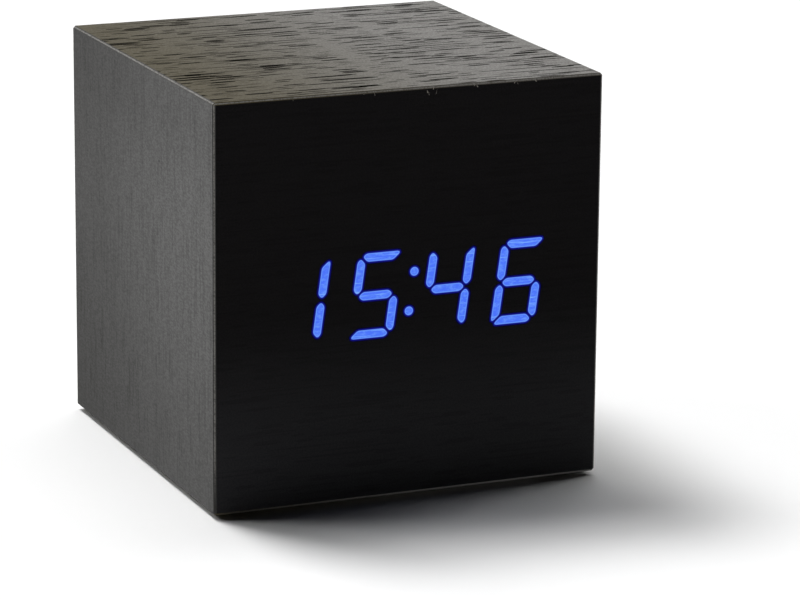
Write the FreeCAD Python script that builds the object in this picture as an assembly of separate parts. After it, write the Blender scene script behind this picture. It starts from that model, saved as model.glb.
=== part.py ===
import FreeCAD, Part
import math
import os

# Cube-shaped LED clock in veneered board, in millimetres: +X right as seen from the front, +Y to the back, +Z up.
# The origin lies on the ground below the middle of the case.

# Case
case_width = 68.0
case_height = 68.0
sleeve_depth = 68.0
board_thickness = 4.5
front_board_thickness = 8.0
veneer_thickness = 0.5
arris_width = 0.4
foot_thickness = 0.7
foot_radius = 3.5
foot_inset = 5.5

# Clearances shared by several pieces
overrun = 1.0
seam_gap = 0.15
running_gap = 0.3
shaft_gap = 0.05

# Screws: pan head and plain shank
screw_shank_radius = 0.8
screw_head_radius = 1.4
screw_head_height = 0.8
screw_length = 4.0

# Display behind the front veneer, as wide as the case lets it be
digit_count = 4
digit_spacing = 4.6
digit_end_margin = 2.05
digit_height = 14.2
stroke = 1.45
segment_gap = 0.25
slant_degrees = 8.0
corner_cut_share = 0.38
colon_dot_radius = 0.8
colon_upper_height = 3.35
colon_lower_height = -3.2
shown_time = "1546"
display_rise = 0.3
display_board_margin = 1.0
display_board_height = 27.0
housing_margin = 2.85
housing_height = 19.0
window_gap = 0.15
film_thickness = 0.2
circuit_thickness = 1.6
led_chip_width = 1.0
led_chip_height = 0.5
led_chip_depth = 0.5
led_room = 0.8

# Rear panel, set in from the sides, the bottom and the top of the case
panel_side_margin = 9.0
panel_low_margin = 17.3
panel_high_margin = 8.7
panel_corner = 3.0
panel_thickness = 1.8
panel_lap = 3.3
opening_corner = 2.0
skirt_wall = 1.2
skirt_depth = 3.0
boss_radius = 2.0
boss_sink = 0.2
panel_screw_inset = 2.2
counterbore_depth = 0.9

# Places and radii on the rear panel, as shares of the space inside its skirt
square_share = 0.802
speaker_x_share = -0.2104
speaker_rise_share = -0.1543
speaker_radius_share = 0.3086
right_column_share = 0.2599
microphone_rise_share = 0.0154
microphone_radius_share = 0.0926
microphone_hole_share = 0.0231
button_pitch_share = 0.2723
button_rise_share = 0.3549
button_radius_share = 0.0926
button_flange_share = 0.2222
socket_rise_share = -0.3241
plug_room_width_share = 0.3858
plug_room_height_share = 0.2623

# Speaker behind the rear panel, its depths measured from the panel's inner face
speaker_depth = 4.5
speaker_seat_depth = 0.6
speaker_dome_rise = 0.35
speaker_back_depth = 3.0
speaker_sheet = 0.35
rim_share = 0.87
dome_share = 0.4
magnet_share = 0.55
grille_share = 0.84
grille_slots = 7
grille_slot_share = 0.54
cone_sheet = 0.15
lead_radius = 0.45
lead_spacing = 2.4

# Microphone, and the short ribs that keep it and the speaker in place
microphone_depth = 2.7
rib_wall = 0.9
rib_length = 3.0
speaker_rib_depth = 2.5
microphone_rib_depth = 2.2
pin_radius = 0.25

# Buttons and their switches
button_names = ("set", "up", "down")
button_gap = 0.2
button_recess = 0.3
button_flange_depth = 0.8
switch_width = 6.0
switch_body_height = 3.4
switch_height = 5.0
plunger_radius = 1.75
plunger_foot = 1.5
switch_bore_floor = 0.9

# Main circuit board, which goes in through the opening for the rear panel
main_board_side_margin = 1.2
main_board_end_margin = 0.95

# Power socket, standing on the main circuit board
socket_width = 7.5
socket_height = 2.65
socket_chamfer = 0.9
socket_wall = 0.3
socket_floor = 0.6
tongue_width = 4.0
tongue_thickness = 0.6
tongue_setback = 0.8
plug_room_corner = 1.5
plug_room_depth = 1.0

# Parts on the inner face of the main board, and on the back of the display board
blob_x_share = -0.317
blob_rise_share = 0.18
blob_radius_share = 0.11
blob_height = 1.4
chip_length = 4.9
chip_width = 3.9
chip_height = 1.5
chip_lead_count = 4
chip_lead_pitch = 1.27
chip_lead_width = 0.4
chip_lead_reach = 1.0
chip_lead_thickness = 0.2
voice_chip_x_share = -0.22
voice_chip_rise_share = -0.18
driver_chip_x_share = 0.29
driver_chip_rise = 3.0
crystal_radius = 1.0
crystal_length = 6.0
crystal_x_share = 0.317
crystal_rise_share = 0.24
capacitor_radius = 2.5
capacitor_length = 7.0
capacitor_x_share = 0.317
capacitor_rise_share = -0.1
small_part_length = 2.0
small_part_width = 1.2
small_part_height = 0.6
small_part_pitch_share = 0.083
small_part_count = 7
small_part_inset = 2.4

# Ribbon cable between the boards
ribbon_edge_gap = 0.45
ribbon_thickness = 0.9
ribbon_low = -8.0
ribbon_bend = 9.0
header_width_share = 0.332
header_height = 3.0
header_depth = 4.0

# Batteries, three in a row, side by side, as long as the tray lets them be
cell_count = 3
cell_radius = 5.25
nub_radius = 1.9
nub_length = 0.9
cell_gap = 0.8
cell_play = 0.2
cell_rest = 0.1

# Battery tray and its contacts
tray_offset = 1.0
tray_side_margin = 4.0
tray_wall = 1.2
tray_ledge = 1.0
tray_flange_width = 3.5
tray_flange_thickness = 1.5
tray_flange_corner = 2.5
tray_screw_inset = 2.0
tray_screw_length = 3.6
tray_counterbore = 0.9
ledge_thickness = 1.15
contact_thickness = 0.4
contact_height = 6.4
contact_margin = 3.4
contact_dimple_width = 3.2
contact_dimple_depth = 0.5
spring_depth = 2.8
spring_width = 4.0
spring_sheet = 0.3
spring_flat = 1.2
spring_tip = 0.7
tab_width = 2.5
tab_reach = 2.7
tab_rise = 2.2
wire_radius = 0.6
wire_bend = 3.0
wire_end_inset = 3.75
wire_side_inset = 5.5
wire_run = 6.5
wire_climb = 7.4

# Battery door
door_thickness = 1.5
door_seat = 0.05
door_rib_height = 0.4
door_rib_width = 1.5
door_rib_spacing = 14.0
hook_width = 3.0
hook_height = 1.15
hook_lift = 0.15
hook_reach = 0.9
hook_root = 1.5
hook_pocket_height = 2.55
latch_width = 7.2
latch_length = 7.0
latch_slot = 0.8
notch_radius = 5.0
notch_depth = 0.9

# Levels and places worked out from the sizes above
up = FreeCAD.Vector(0, 0, 1)
rearward = FreeCAD.Vector(0, 1, 0)
forward = FreeCAD.Vector(0, -1, 0)
right = FreeCAD.Vector(1, 0, 0)
full_turn = 360.0
straight_share = 1e-6
post_sides = 12
wire_sides = 6
slant = math.tan(math.radians(slant_degrees))

base = foot_thickness
middle = base + case_height / 2
front = -sleeve_depth / 2
back = sleeve_depth / 2
wall = veneer_thickness + board_thickness
inner_half_width = case_width / 2 - wall
inner_floor = base + wall
inner_roof = base + case_height - wall
pilot_radius = screw_shank_radius + shaft_gap

display_z = middle + display_rise
display_board_front = front + front_board_thickness
display_board_back = display_board_front + circuit_thickness
display_board_width = 2 * (inner_half_width - display_board_margin)
housing_width = display_board_width - 2 * housing_margin
digit_room = housing_width - 2 * digit_end_margin - (digit_count - 1) * digit_spacing
digit_width = digit_room / digit_count
digit_pitch = digit_width + digit_spacing

panel_width = case_width - 2 * panel_side_margin
panel_height = case_height - panel_low_margin - panel_high_margin
panel_z = base + panel_low_margin + panel_height / 2
panel_face = back + veneer_thickness
panel_inside = panel_face - panel_thickness
opening_width = panel_width - 2 * panel_lap
opening_height = panel_height - 2 * panel_lap
skirt_width = opening_width - 2 * running_gap
skirt_height = opening_height - 2 * running_gap
hollow_width = skirt_width - 2 * skirt_wall
hollow_height = skirt_height - 2 * skirt_wall
boss_x = skirt_width / 2 - skirt_wall - boss_radius + boss_sink
boss_z = skirt_height / 2 - skirt_wall - boss_radius + boss_sink
boss_length = switch_height + button_flange_depth + 2 * shaft_gap
main_board_back = panel_inside - boss_length
main_board_front = main_board_back - circuit_thickness
main_board_width = opening_width - 2 * main_board_side_margin
main_board_height = opening_height - 2 * main_board_end_margin

hollow_reach = min(hollow_width * square_share, hollow_height)
speaker_x = hollow_width * speaker_x_share
speaker_z = panel_z + hollow_height * speaker_rise_share
speaker_radius = hollow_reach * speaker_radius_share
rim_radius = speaker_radius * rim_share
magnet_radius = speaker_radius * magnet_share
grille_radius = speaker_radius * grille_share
right_column_x = hollow_width * right_column_share
microphone_z = panel_z + hollow_height * microphone_rise_share
microphone_radius = hollow_reach * microphone_radius_share
microphone_hole_radius = hollow_reach * microphone_hole_share
button_pitch = hollow_width * button_pitch_share
button_z = panel_z + hollow_height * button_rise_share
button_radius = hollow_reach * button_radius_share
button_flange_width = hollow_reach * button_flange_share
socket_z = panel_z + hollow_height * socket_rise_share
plug_room_width = hollow_reach * plug_room_width_share
plug_room_height = hollow_reach * plug_room_height_share
small_part_pitch = main_board_width * small_part_pitch_share
blob_radius = main_board_width * blob_radius_share
header_width = main_board_width * header_width_share
ribbon_width = header_width - 2 * ribbon_edge_gap

cell_pitch = 2 * cell_radius + cell_gap
trough_radius = cell_radius + cell_play
spring_room = contact_thickness + spring_depth
plate_room = contact_thickness + contact_dimple_depth
flange_length = case_width - 2 * tray_side_margin
collar_length = flange_length - 2 * tray_flange_width
recess_length = collar_length - 2 * tray_wall
compartment_length = recess_length - 2 * tray_ledge
cell_length = compartment_length - spring_room - plate_room
compartment_width = (cell_count - 1) * cell_pitch + 2 * trough_radius
recess_width = compartment_width + 2 * tray_ledge
collar_width = recess_width + 2 * tray_wall
flange_width = collar_width + 2 * tray_flange_width
ledge_z = base + door_thickness + door_seat
collar_top = ledge_z + ledge_thickness
cell_z = base + door_thickness + door_rib_height + cell_rest + cell_radius
tray_top = cell_z + trough_radius + tray_wall
door_length = recess_length - 2 * running_gap
door_width = recess_width - 2 * running_gap
door_inside = base + door_thickness


def block(x, y, z):
    """Box between a low and a high value along each axis."""
    size = (x[1] - x[0], y[1] - y[0], z[1] - z[0])
    return Part.makeBox(*size, FreeCAD.Vector(x[0], y[0], z[0]))


def about(centre, size):
    """Low and high value of a size laid evenly about its centre."""
    return (centre - size / 2, centre + size / 2)


def prism(points, travel):
    """Flat outline carried along a vector."""
    return Part.Face(Part.makePolygon(points + points[:1])).extrude(travel)


def prism_back(outline, y):
    """Outline of (x, z) points carried from the low to the high y."""
    points = [FreeCAD.Vector(x, y[0], z) for x, z in outline]
    return prism(points, rearward * (y[1] - y[0]))


def prism_across(outline, x):
    """Outline of (y, z) points carried from the low to the high x."""
    points = [FreeCAD.Vector(x[0], y, z) for y, z in outline]
    return prism(points, right * (x[1] - x[0]))


def rounded(solid, radius, direction):
    """Rounds the edges that run along one direction."""
    edges = [edge for edge in solid.Edges
             if edge.tangentAt(edge.FirstParameter).cross(direction).Length < straight_share]
    return solid.makeFillet(radius, edges)


def turned(outline, place, axis):
    """Solid of revolution: the outline's points are (radius, distance along the axis) from the place."""
    points = [FreeCAD.Vector(radius, 0, along) for radius, along in outline]
    solid = Part.Face(Part.makePolygon(points + points[:1])).revolve(FreeCAD.Vector(), up, full_turn)
    solid.Placement = FreeCAD.Placement(place, FreeCAD.Rotation(up, axis))
    return solid


def rod(radius, start, end):
    """Cylinder from one point to another."""
    return Part.makeCylinder(radius, (end - start).Length, start, end - start)


def flat_section(radius, place, axis, sides):
    """Corners of a regular section about a place, square to the axis."""
    turn = FreeCAD.Rotation(up, axis)
    angles = [math.tau * k / sides for k in range(sides)]
    return [place + turn.multVec(FreeCAD.Vector(math.cos(a), math.sin(a), 0)) * radius for a in angles]


def post(radius, start, end):
    """Twelve-sided rod, for shanks, pins and holes that are out of sight."""
    return prism(flat_section(radius, start, end - start, post_sides), end - start)


def wire_along(points, radius, bend):
    """Wire of six-sided section along straight runs joined by tangent arcs."""
    edges = []
    start = points[0]
    for before, corner, after in zip(points, points[1:], points[2:]):
        inward = (before - corner).normalize()
        outward = (after - corner).normalize()
        half_angle = inward.getAngle(outward) / 2
        setback = bend / math.tan(half_angle)
        arc_start = corner + inward * setback
        arc_end = corner + outward * setback
        bisector = (inward + outward).normalize()
        arc_middle = corner + bisector * (bend / math.sin(half_angle) - bend)
        edges.append(Part.LineSegment(start, arc_start).toShape())
        edges.append(Part.Arc(arc_start, arc_middle, arc_end).toShape())
        start = arc_end
    edges.append(Part.LineSegment(start, points[-1]).toShape())
    section = flat_section(radius, points[0], points[1] - points[0], wire_sides)
    return Part.Wire(edges).makePipeShell([Part.makePolygon(section + section[:1])], True, False)


def screw(seat, direction, length):
    """Screw whose head sits on the seat and whose shank points along the direction."""
    head = rod(screw_head_radius, seat - direction * screw_head_height, seat)
    return head.fuse(post(screw_shank_radius, seat, seat + direction * length))


def corners(half_x, half_z):
    """Four (x, z) places at the corners of a rectangle."""
    return [(x, z) for x in (-half_x, half_x) for z in (-half_z, half_z)]


def opposite_corners(half_x, half_z):
    """Two (x, z) places at opposite corners of a rectangle."""
    return [(-half_x, -half_z), (half_x, half_z)]


def save(node, solids):
    """Writes the solids of one node to its own file."""
    shape = solids[0] if len(solids) == 1 else Part.makeCompound(solids)
    shape.exportStep("parts/%s.step" % node)


def case_corners(inset):
    """Corners of the case's section, from the lower left round by the lower right, set in by one distance."""
    half = case_width / 2 - inset
    low = base + inset
    high = base + case_height - inset
    return [(-half, low), (half, low), (half, high), (-half, high)]


def case_envelope():
    """Whole outside of the case, with a small arris taken off every edge."""
    cube = block(about(0, case_width), (front - veneer_thickness, back + veneer_thickness), (base, base + case_height))
    return cube.makeChamfer(arris_width, cube.Edges)


def sleeve_board(side):
    """One mitred board of the sleeve: 0 bottom, 1 right, 2 top, 3 left."""
    outer = case_corners(veneer_thickness)
    inner = case_corners(wall)
    after = (side + 1) % len(outer)
    return prism_back([outer[side], outer[after], inner[after], inner[side]], (front, back))


def tray_opening():
    """Hole through the bottom board for the tray, with the rebate for the tray's flange."""
    y = about(tray_offset, collar_width + 2 * running_gap)
    through = block(about(0, collar_length + 2 * running_gap), y, (base - overrun, inner_floor + overrun))
    rebate = block(about(0, flange_length + 2 * seam_gap), about(tray_offset, flange_width + 2 * seam_gap),
                   (base - overrun, base + tray_flange_thickness))
    return through.fuse(rounded(rebate, tray_flange_corner, up))


def tray_screw_places():
    """(x, y) of the screws through two opposite corners of the tray's flange."""
    half_x = flange_length / 2 - tray_screw_inset
    half_y = flange_width / 2 - tray_screw_inset
    return [(x, tray_offset + y) for x, y in opposite_corners(half_x, half_y)]


def make_sleeve():
    """Mitred boards of the sleeve, the bottom one open for the battery tray."""
    bottom = sleeve_board(0).cut(tray_opening())
    for x, y in tray_screw_places():
        low = FreeCAD.Vector(x, y, base)
        bottom = bottom.cut(post(pilot_radius, low, low + up * (wall + overrun)))
    save("bottom_board", [bottom])
    save("right_board", [sleeve_board(1)])
    save("top_board", [sleeve_board(2)])
    save("left_board", [sleeve_board(3)])


def make_veneers():
    """One sheet wrapped round the sleeve, and one over each end."""
    envelope = case_envelope()
    half = case_width / 2 + overrun
    z = (base - overrun, base + case_height + overrun)
    wrap = envelope.common(block((-half, half), (front, back), z))
    wrap = wrap.cut(prism_back(case_corners(veneer_thickness), (front - overrun, back + overrun)))
    save("wrapped_veneer", [wrap.cut(tray_opening())])
    save("front_veneer", [envelope.common(block((-half, half), (front - overrun, front), z))])
    rear = envelope.common(block((-half, half), (back, back + overrun), z))
    save("back_veneer", [rear.cut(panel_rebate())])


def make_front_board():
    """Thick board inside the front of the sleeve, milled through for the display."""
    y = (front, display_board_front)
    board = block((-inner_half_width, inner_half_width), y, (inner_floor, inner_roof))
    window = block(about(0, housing_width + 2 * window_gap), (front - overrun, display_board_front + overrun),
                   about(display_z, housing_height + 2 * window_gap))
    save("front_board", [board.cut(window)])


def panel_plate(width, height, corner, y):
    """Plate with round corners about the middle of the rear panel."""
    return rounded(block(about(0, width), y, about(panel_z, height)), corner, rearward)


def panel_rebate():
    """Space for the rear panel's flange, through the back veneer and into the board."""
    return panel_plate(panel_width + 2 * seam_gap, panel_height + 2 * seam_gap, panel_corner + seam_gap,
                       (panel_inside, panel_face + overrun))


def panel_screw_places():
    """(x, z) of the screws at the rear panel's corners."""
    half_x = panel_width / 2 - panel_screw_inset
    half_z = panel_height / 2 - panel_screw_inset
    return [(x, panel_z + z) for x, z in corners(half_x, half_z)]


def make_back_board():
    """Board inside the back of the sleeve, with the opening and rebate for the rear panel."""
    y = (back - board_thickness, back)
    board = block((-inner_half_width, inner_half_width), y, (inner_floor, inner_roof))
    opening = panel_plate(opening_width, opening_height, opening_corner, (y[0] - overrun, back + overrun))
    board = board.cut(opening).cut(panel_rebate())
    for x, z in panel_screw_places():
        mouth = FreeCAD.Vector(x, back, z)
        board = board.cut(post(pilot_radius, mouth, mouth + forward * (board_thickness + overrun)))
    save("back_board", [board])


def make_feet():
    """Thin round rubber feet near the corners of the underside."""
    half_x = case_width / 2 - foot_inset
    half_y = sleeve_depth / 2 - foot_inset
    lows = [FreeCAD.Vector(x, y, 0) for x, y in corners(half_x, half_y)]
    save("rubber_feet", [rod(foot_radius, low, low + up * foot_thickness) for low in lows])


def boss_places():
    """(x, z) of the rear panel's four bosses for the main board."""
    return [(x, panel_z + z) for x, z in corners(boss_x, boss_z)]


def main_screw_places():
    """(x, z) of the two bosses that take a screw."""
    return [(x, panel_z + z) for x, z in opposite_corners(boss_x, boss_z)]


def button_places():
    """Name and (x, z) of each button, from the left as seen from the back."""
    first = (len(button_names) - 1) / 2 * button_pitch
    return [(name, first - k * button_pitch, button_z) for k, name in enumerate(button_names)]


def locating_ribs(x, z, radius, depth):
    """Four short ribs round a circular piece on the rear panel's inner face."""
    y = (panel_inside - depth, panel_inside)
    reach = radius + rib_wall / 2
    beside = [block(about(x + way * reach, rib_wall), y, about(z, rib_length)) for way in (-1, 1)]
    return beside + [block(about(x, rib_length), y, about(z + way * reach, rib_wall)) for way in (-1, 1)]


def grille_slot(k):
    """One slot of the speaker grille, as long as the circle lets it be."""
    pitch = 2 * grille_radius / grille_slots
    width = pitch * grille_slot_share
    offset = (k - (grille_slots - 1) / 2) * pitch
    reach = math.sqrt(grille_radius ** 2 - (abs(offset) + width / 2) ** 2)
    return block(about(speaker_x, 2 * reach), (panel_inside - overrun, panel_face + overrun),
                 about(speaker_z + offset, width))


def socket_outline(inset):
    """Power socket's section, flat above and narrower below, set in by one distance."""
    half = socket_width / 2 - inset
    high = socket_height / 2 - inset
    foot = half - socket_chamfer
    upright = [(-half, high), (half, high), (half, 0), (foot, -high), (-foot, -high), (-half, 0)]
    return [(right_column_x + x, socket_z + z) for x, z in upright]


def panel_holes():
    """Everything that is cut through the rear panel."""
    through = (panel_inside - overrun, panel_face + overrun)
    cuts = [grille_slot(k) for k in range(grille_slots)]
    holes = [(microphone_hole_radius, right_column_x, microphone_z)]
    holes += [(button_radius + button_gap, x, z) for name, x, z in button_places()]
    for radius, x, z in holes:
        mouth = FreeCAD.Vector(x, through[0], z)
        cuts.append(rod(radius, mouth, mouth + rearward * (through[1] - through[0])))
    cuts.append(prism_back(socket_outline(-running_gap), through))
    plug_room = block(about(right_column_x, plug_room_width), (panel_face - plug_room_depth, through[1]),
                      about(socket_z, plug_room_height))
    cuts.append(rounded(plug_room, plug_room_corner, rearward))
    for x, z in panel_screw_places():
        seat = FreeCAD.Vector(x, panel_face - counterbore_depth, z)
        cuts.append(rod(screw_head_radius + seam_gap, seat, seat + rearward * (counterbore_depth + overrun)))
        cuts.append(post(pilot_radius, seat, seat + forward * panel_thickness))
    for x, z in main_screw_places():
        mouth = FreeCAD.Vector(x, main_board_back - overrun, z)
        cuts.append(post(pilot_radius, mouth, mouth + rearward * (boss_length + overrun)))
    return cuts


def make_rear_panel():
    """Moulded panel with skirt, bosses, locating ribs, grille, button holes and socket opening."""
    plate = panel_plate(panel_width, panel_height, panel_corner, (panel_inside, panel_face))
    y = (panel_inside - skirt_depth, panel_inside)
    skirt = panel_plate(skirt_width, skirt_height, opening_corner, y)
    hollow = block(about(0, hollow_width), (y[0] - overrun, y[1]), about(panel_z, hollow_height))
    pieces = [skirt.cut(hollow)]
    pieces += locating_ribs(speaker_x, speaker_z, speaker_radius + seam_gap, speaker_rib_depth)
    pieces += locating_ribs(right_column_x, microphone_z, microphone_radius + shaft_gap, microphone_rib_depth)
    for x, z in boss_places():
        pieces.append(block(about(x, 2 * boss_radius), (main_board_back, panel_inside), about(z, 2 * boss_radius)))
    panel = plate.fuse(pieces).cut(panel_holes())
    save("rear_panel", [panel.removeSplitter().Solids[0]])
    seats = [FreeCAD.Vector(x, panel_face - counterbore_depth, z) for x, z in panel_screw_places()]
    save("panel_screws", [screw(seat, forward, screw_length) for seat in seats])


def make_button(name, x, z):
    """Button and the plunger of its switch, which travel together."""
    flange_face = panel_inside - shaft_gap
    flange = block(about(x, button_flange_width), (flange_face - button_flange_depth, flange_face),
                   about(z, button_flange_width))
    shoulder = FreeCAD.Vector(x, flange_face, z)
    cap = rod(button_radius, shoulder, FreeCAD.Vector(x, panel_face - button_recess, z))
    save(name + "_button", [cap.fuse(flange)])
    foot = FreeCAD.Vector(x, main_board_back + plunger_foot, z)
    save(name + "_plunger", [post(plunger_radius, foot, foot + rearward * (switch_height - plunger_foot))])


def make_switches():
    """Bodies of the three switches, each bored for its plunger."""
    y = (main_board_back, main_board_back + switch_body_height)
    bodies = []
    for name, x, z in button_places():
        floor = FreeCAD.Vector(x, main_board_back + switch_bore_floor, z)
        bore = post(plunger_radius + shaft_gap, floor, floor + rearward * switch_height)
        bodies.append(block(about(x, switch_width), y, about(z, switch_width)).cut(bore))
    save("switch_bodies", bodies)


def make_speaker():
    """Basket, domed diaphragm and magnet, seated on the rear panel's inner face."""
    place = FreeCAD.Vector(speaker_x, panel_inside, speaker_z)
    cup_end = speaker_back_depth + speaker_sheet
    basket = [(rim_radius, 0), (speaker_radius, 0), (speaker_radius, cup_end), (0, cup_end),
              (0, speaker_back_depth), (rim_radius, speaker_back_depth)]
    save("speaker_basket", [turned(basket, place, forward)])
    cone_back = speaker_seat_depth + cone_sheet
    dome_radius = speaker_radius * dome_share
    dome_face = speaker_seat_depth - speaker_dome_rise
    cone = [(0, dome_face), (dome_radius, dome_face), (dome_radius, speaker_seat_depth),
            (rim_radius, speaker_seat_depth), (rim_radius, cone_back), (0, cone_back)]
    save("speaker_diaphragm", [turned(cone, place, forward)])
    save("speaker_magnet", [rod(magnet_radius, place + forward * cup_end, place + forward * speaker_depth)])
    lead_z = speaker_z - (rim_radius + magnet_radius) / 2
    starts = [FreeCAD.Vector(x, panel_inside - cup_end, lead_z) for x in about(speaker_x, lead_spacing)]
    run = forward * (starts[0].y - main_board_back)
    save("speaker_leads", [wire_along([start, start + run], lead_radius, lead_radius) for start in starts])


def make_microphone():
    """Round capsule between its ribs, and its two pins to the board."""
    place = FreeCAD.Vector(right_column_x, panel_inside, microphone_z)
    end = place + forward * microphone_depth
    save("microphone", [rod(microphone_radius, place, end)])
    starts = [end + right * x for x in about(0, microphone_radius)]
    run = forward * (end.y - main_board_back)
    save("microphone_pins", [wire_along([start, start + run], pin_radius, pin_radius) for start in starts])


def make_main_board():
    """Main circuit board on the panel's bosses, with its screws."""
    board = block(about(0, main_board_width), (main_board_front, main_board_back), about(panel_z, main_board_height))
    seats = [FreeCAD.Vector(x, main_board_front, z) for x, z in main_screw_places()]
    for seat in seats:
        board = board.cut(post(pilot_radius, seat + forward * overrun, seat + rearward * (circuit_thickness + overrun)))
    save("main_board", [board])
    save("main_board_screws", [screw(seat, rearward, screw_length) for seat in seats])


def make_power_socket():
    """Steel shell and plastic tongue of the power socket, its mouth level with the plug's recess."""
    mouth = panel_face - plug_room_depth
    shell = prism_back(socket_outline(0), (main_board_back, mouth))
    hollow = prism_back(socket_outline(socket_wall), (main_board_back + socket_floor, mouth + overrun))
    save("power_socket_shell", [shell.cut(hollow)])
    tongue = block(about(right_column_x, tongue_width), (main_board_back + socket_floor, mouth - tongue_setback),
                   about(socket_z, tongue_thickness))
    save("power_socket_tongue", [tongue])


def chip(x, y, z, outward):
    """Body and two rows of bent leads of a chip that lies on a board face, its length along X."""
    top = y + outward * chip_height
    clear = y + outward * chip_lead_thickness
    body = block(about(x, chip_length), sorted((clear, top)), about(z, chip_width))
    leads = []
    shoulder = y + outward * chip_height / 2
    for side in (-1, 1):
        edge = z + side * chip_width / 2
        tip = edge + side * chip_lead_reach
        lift = outward * chip_lead_thickness
        outline = [(shoulder, edge), (y, tip), (y + lift, tip), (shoulder + lift, edge)]
        for k in range(chip_lead_count):
            lead_x = x + (k - (chip_lead_count - 1) / 2) * chip_lead_pitch
            leads.append(prism_across(outline, about(lead_x, chip_lead_width)))
    return body, leads


def make_chips():
    """Voice chip on the main board and driver chip on the display board."""
    voice_x = main_board_width * voice_chip_x_share
    voice = chip(voice_x, main_board_front, panel_z + main_board_height * voice_chip_rise_share, -1)
    driver = chip(display_board_width * driver_chip_x_share, display_board_back, display_z + driver_chip_rise, 1)
    save("chip_bodies", [voice[0], driver[0]])
    save("chip_leads", voice[1] + driver[1])


def on_main_board(x_share, rise_share):
    """Point on the inner face of the main board, by its shares of the board's width and height."""
    return FreeCAD.Vector(main_board_width * x_share, main_board_front, panel_z + main_board_height * rise_share)


def make_board_parts():
    """Controller under its resin blob, crystal, capacitor and small chip parts."""
    place = on_main_board(blob_x_share, blob_rise_share)
    save("clock_controller", [rod(blob_radius, place, place + forward * blob_height)])
    place = on_main_board(crystal_x_share, crystal_rise_share) + forward * crystal_radius
    half_run = right * (crystal_length / 2)
    save("quartz_crystal", [post(crystal_radius, place - half_run, place + half_run)])
    place = on_main_board(capacitor_x_share, capacitor_rise_share)
    save("capacitor", [rod(capacitor_radius, place, place + forward * capacitor_length)])
    small = []
    for k in range(small_part_count):
        x = (k - (small_part_count - 1) / 2) * small_part_pitch
        z = panel_z - main_board_height / 2 + small_part_inset
        small.append(block(about(x, small_part_length), (main_board_front - small_part_height, main_board_front),
                           about(z, small_part_width)))
        small.append(block(about(x, small_part_length), (display_board_back, display_board_back + small_part_height),
                           about(display_z + display_board_height / 2 - small_part_inset, small_part_width)))
    save("small_chip_parts", small)


def ribbon_side(start, end, low, offset):
    """Edges of one face of the ribbon in the YZ plane, an S of two quarter turns between straight ends."""
    centre = (start + end) / 2
    turn_z = low + ribbon_bend
    lower_y = centre - ribbon_bend
    upper_y = centre + ribbon_bend
    inner = (ribbon_bend - offset) * math.sqrt(0.5)
    outer = (ribbon_bend + offset) * math.sqrt(0.5)
    first = FreeCAD.Vector(0, start, low + offset)
    lower = FreeCAD.Vector(0, lower_y, low + offset)
    lower_middle = FreeCAD.Vector(0, lower_y + inner, turn_z - inner)
    crossing = FreeCAD.Vector(0, centre - offset, turn_z)
    upper_middle = FreeCAD.Vector(0, upper_y - outer, turn_z + outer)
    upper = FreeCAD.Vector(0, upper_y, turn_z + ribbon_bend + offset)
    last = FreeCAD.Vector(0, end, upper.z)
    return [Part.LineSegment(first, lower), Part.Arc(lower, lower_middle, crossing),
            Part.Arc(crossing, upper_middle, upper), Part.LineSegment(upper, last)]


def make_ribbon():
    """Flat cable that climbs in an S from the display board to the main board, and its two headers."""
    low = display_z + ribbon_low
    high = low + 2 * ribbon_bend
    start = display_board_back + header_depth
    end = main_board_front - header_depth
    under = ribbon_side(start, end, low, -ribbon_thickness / 2)
    over = ribbon_side(start, end, low, ribbon_thickness / 2)
    ends = [Part.LineSegment(under[0].StartPoint, over[0].StartPoint),
            Part.LineSegment(under[-1].EndPoint, over[-1].EndPoint)]
    edges = Part.__sortEdges__([edge.toShape() for edge in under + over + ends])
    ribbon = Part.Face(Part.Wire(edges)).extrude(right * ribbon_width)
    ribbon.translate(right * (-ribbon_width / 2))
    save("ribbon_cable", [ribbon])
    x = about(0, header_width)
    save("ribbon_headers", [block(x, (display_board_back, start), about(low, header_height)),
                            block(x, (end, main_board_front), about(high, header_height))])


def half_turned(outline):
    """Outline turned by half a turn about the digit's middle."""
    return [(-x, -z) for x, z in outline]


def segment_outlines():
    """Upright outlines of the seven segments about the digit's middle, by letter."""
    x = digit_width / 2
    z = digit_height / 2
    half = stroke / 2
    mitre = segment_gap * math.sqrt(0.5)
    cut = stroke * corner_cut_share
    a = [(2 * cut + mitre - x, z), (x - mitre, z), (x - stroke - mitre, z - stroke),
         (stroke + mitre - x, z - stroke), (cut + mitre - x, z - cut)]
    b = [(x, z - mitre), (x - stroke, z - stroke - mitre), (x - stroke, half + mitre), (x - half, mitre),
         (x, half + mitre)]
    f = [(-x, z - 2 * cut - mitre), (cut - x, z - cut - mitre), (stroke - x, z - stroke - mitre),
         (stroke - x, half + mitre), (half - x, mitre), (-x, half + mitre)]
    g = [(half + mitre - x, 0), (stroke + mitre - x, half), (x - stroke - mitre, half), (x - half - mitre, 0),
         (x - stroke - mitre, -half), (stroke + mitre - x, -half)]
    return {"a": a, "b": b, "c": half_turned(f), "d": half_turned(a), "e": half_turned(b), "f": f, "g": g}


lit_letters = {"1": "bc", "4": "bcfg", "5": "acdfg", "6": "acdefg"}


def segments(y, lit):
    """Solids of the lit or the unlit segments between two depths, all slanted."""
    solids = []
    for k, figure in enumerate(shown_time):
        centre = (k - (digit_count - 1) / 2) * digit_pitch
        for letter, outline in segment_outlines().items():
            if (letter in lit_letters[figure]) == lit:
                slanted = [(centre + x + z * slant, display_z + z) for x, z in outline]
                solids.append(prism_back(slanted, y))
    return solids


def colon_dots(y):
    """Two dots between the middle digits, which lie on the slant too."""
    starts = [FreeCAD.Vector(z * slant, y[0], display_z + z) for z in (colon_upper_height, colon_lower_height)]
    return [post(colon_dot_radius, start, start + rearward * (y[1] - y[0])) for start in starts]


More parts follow.
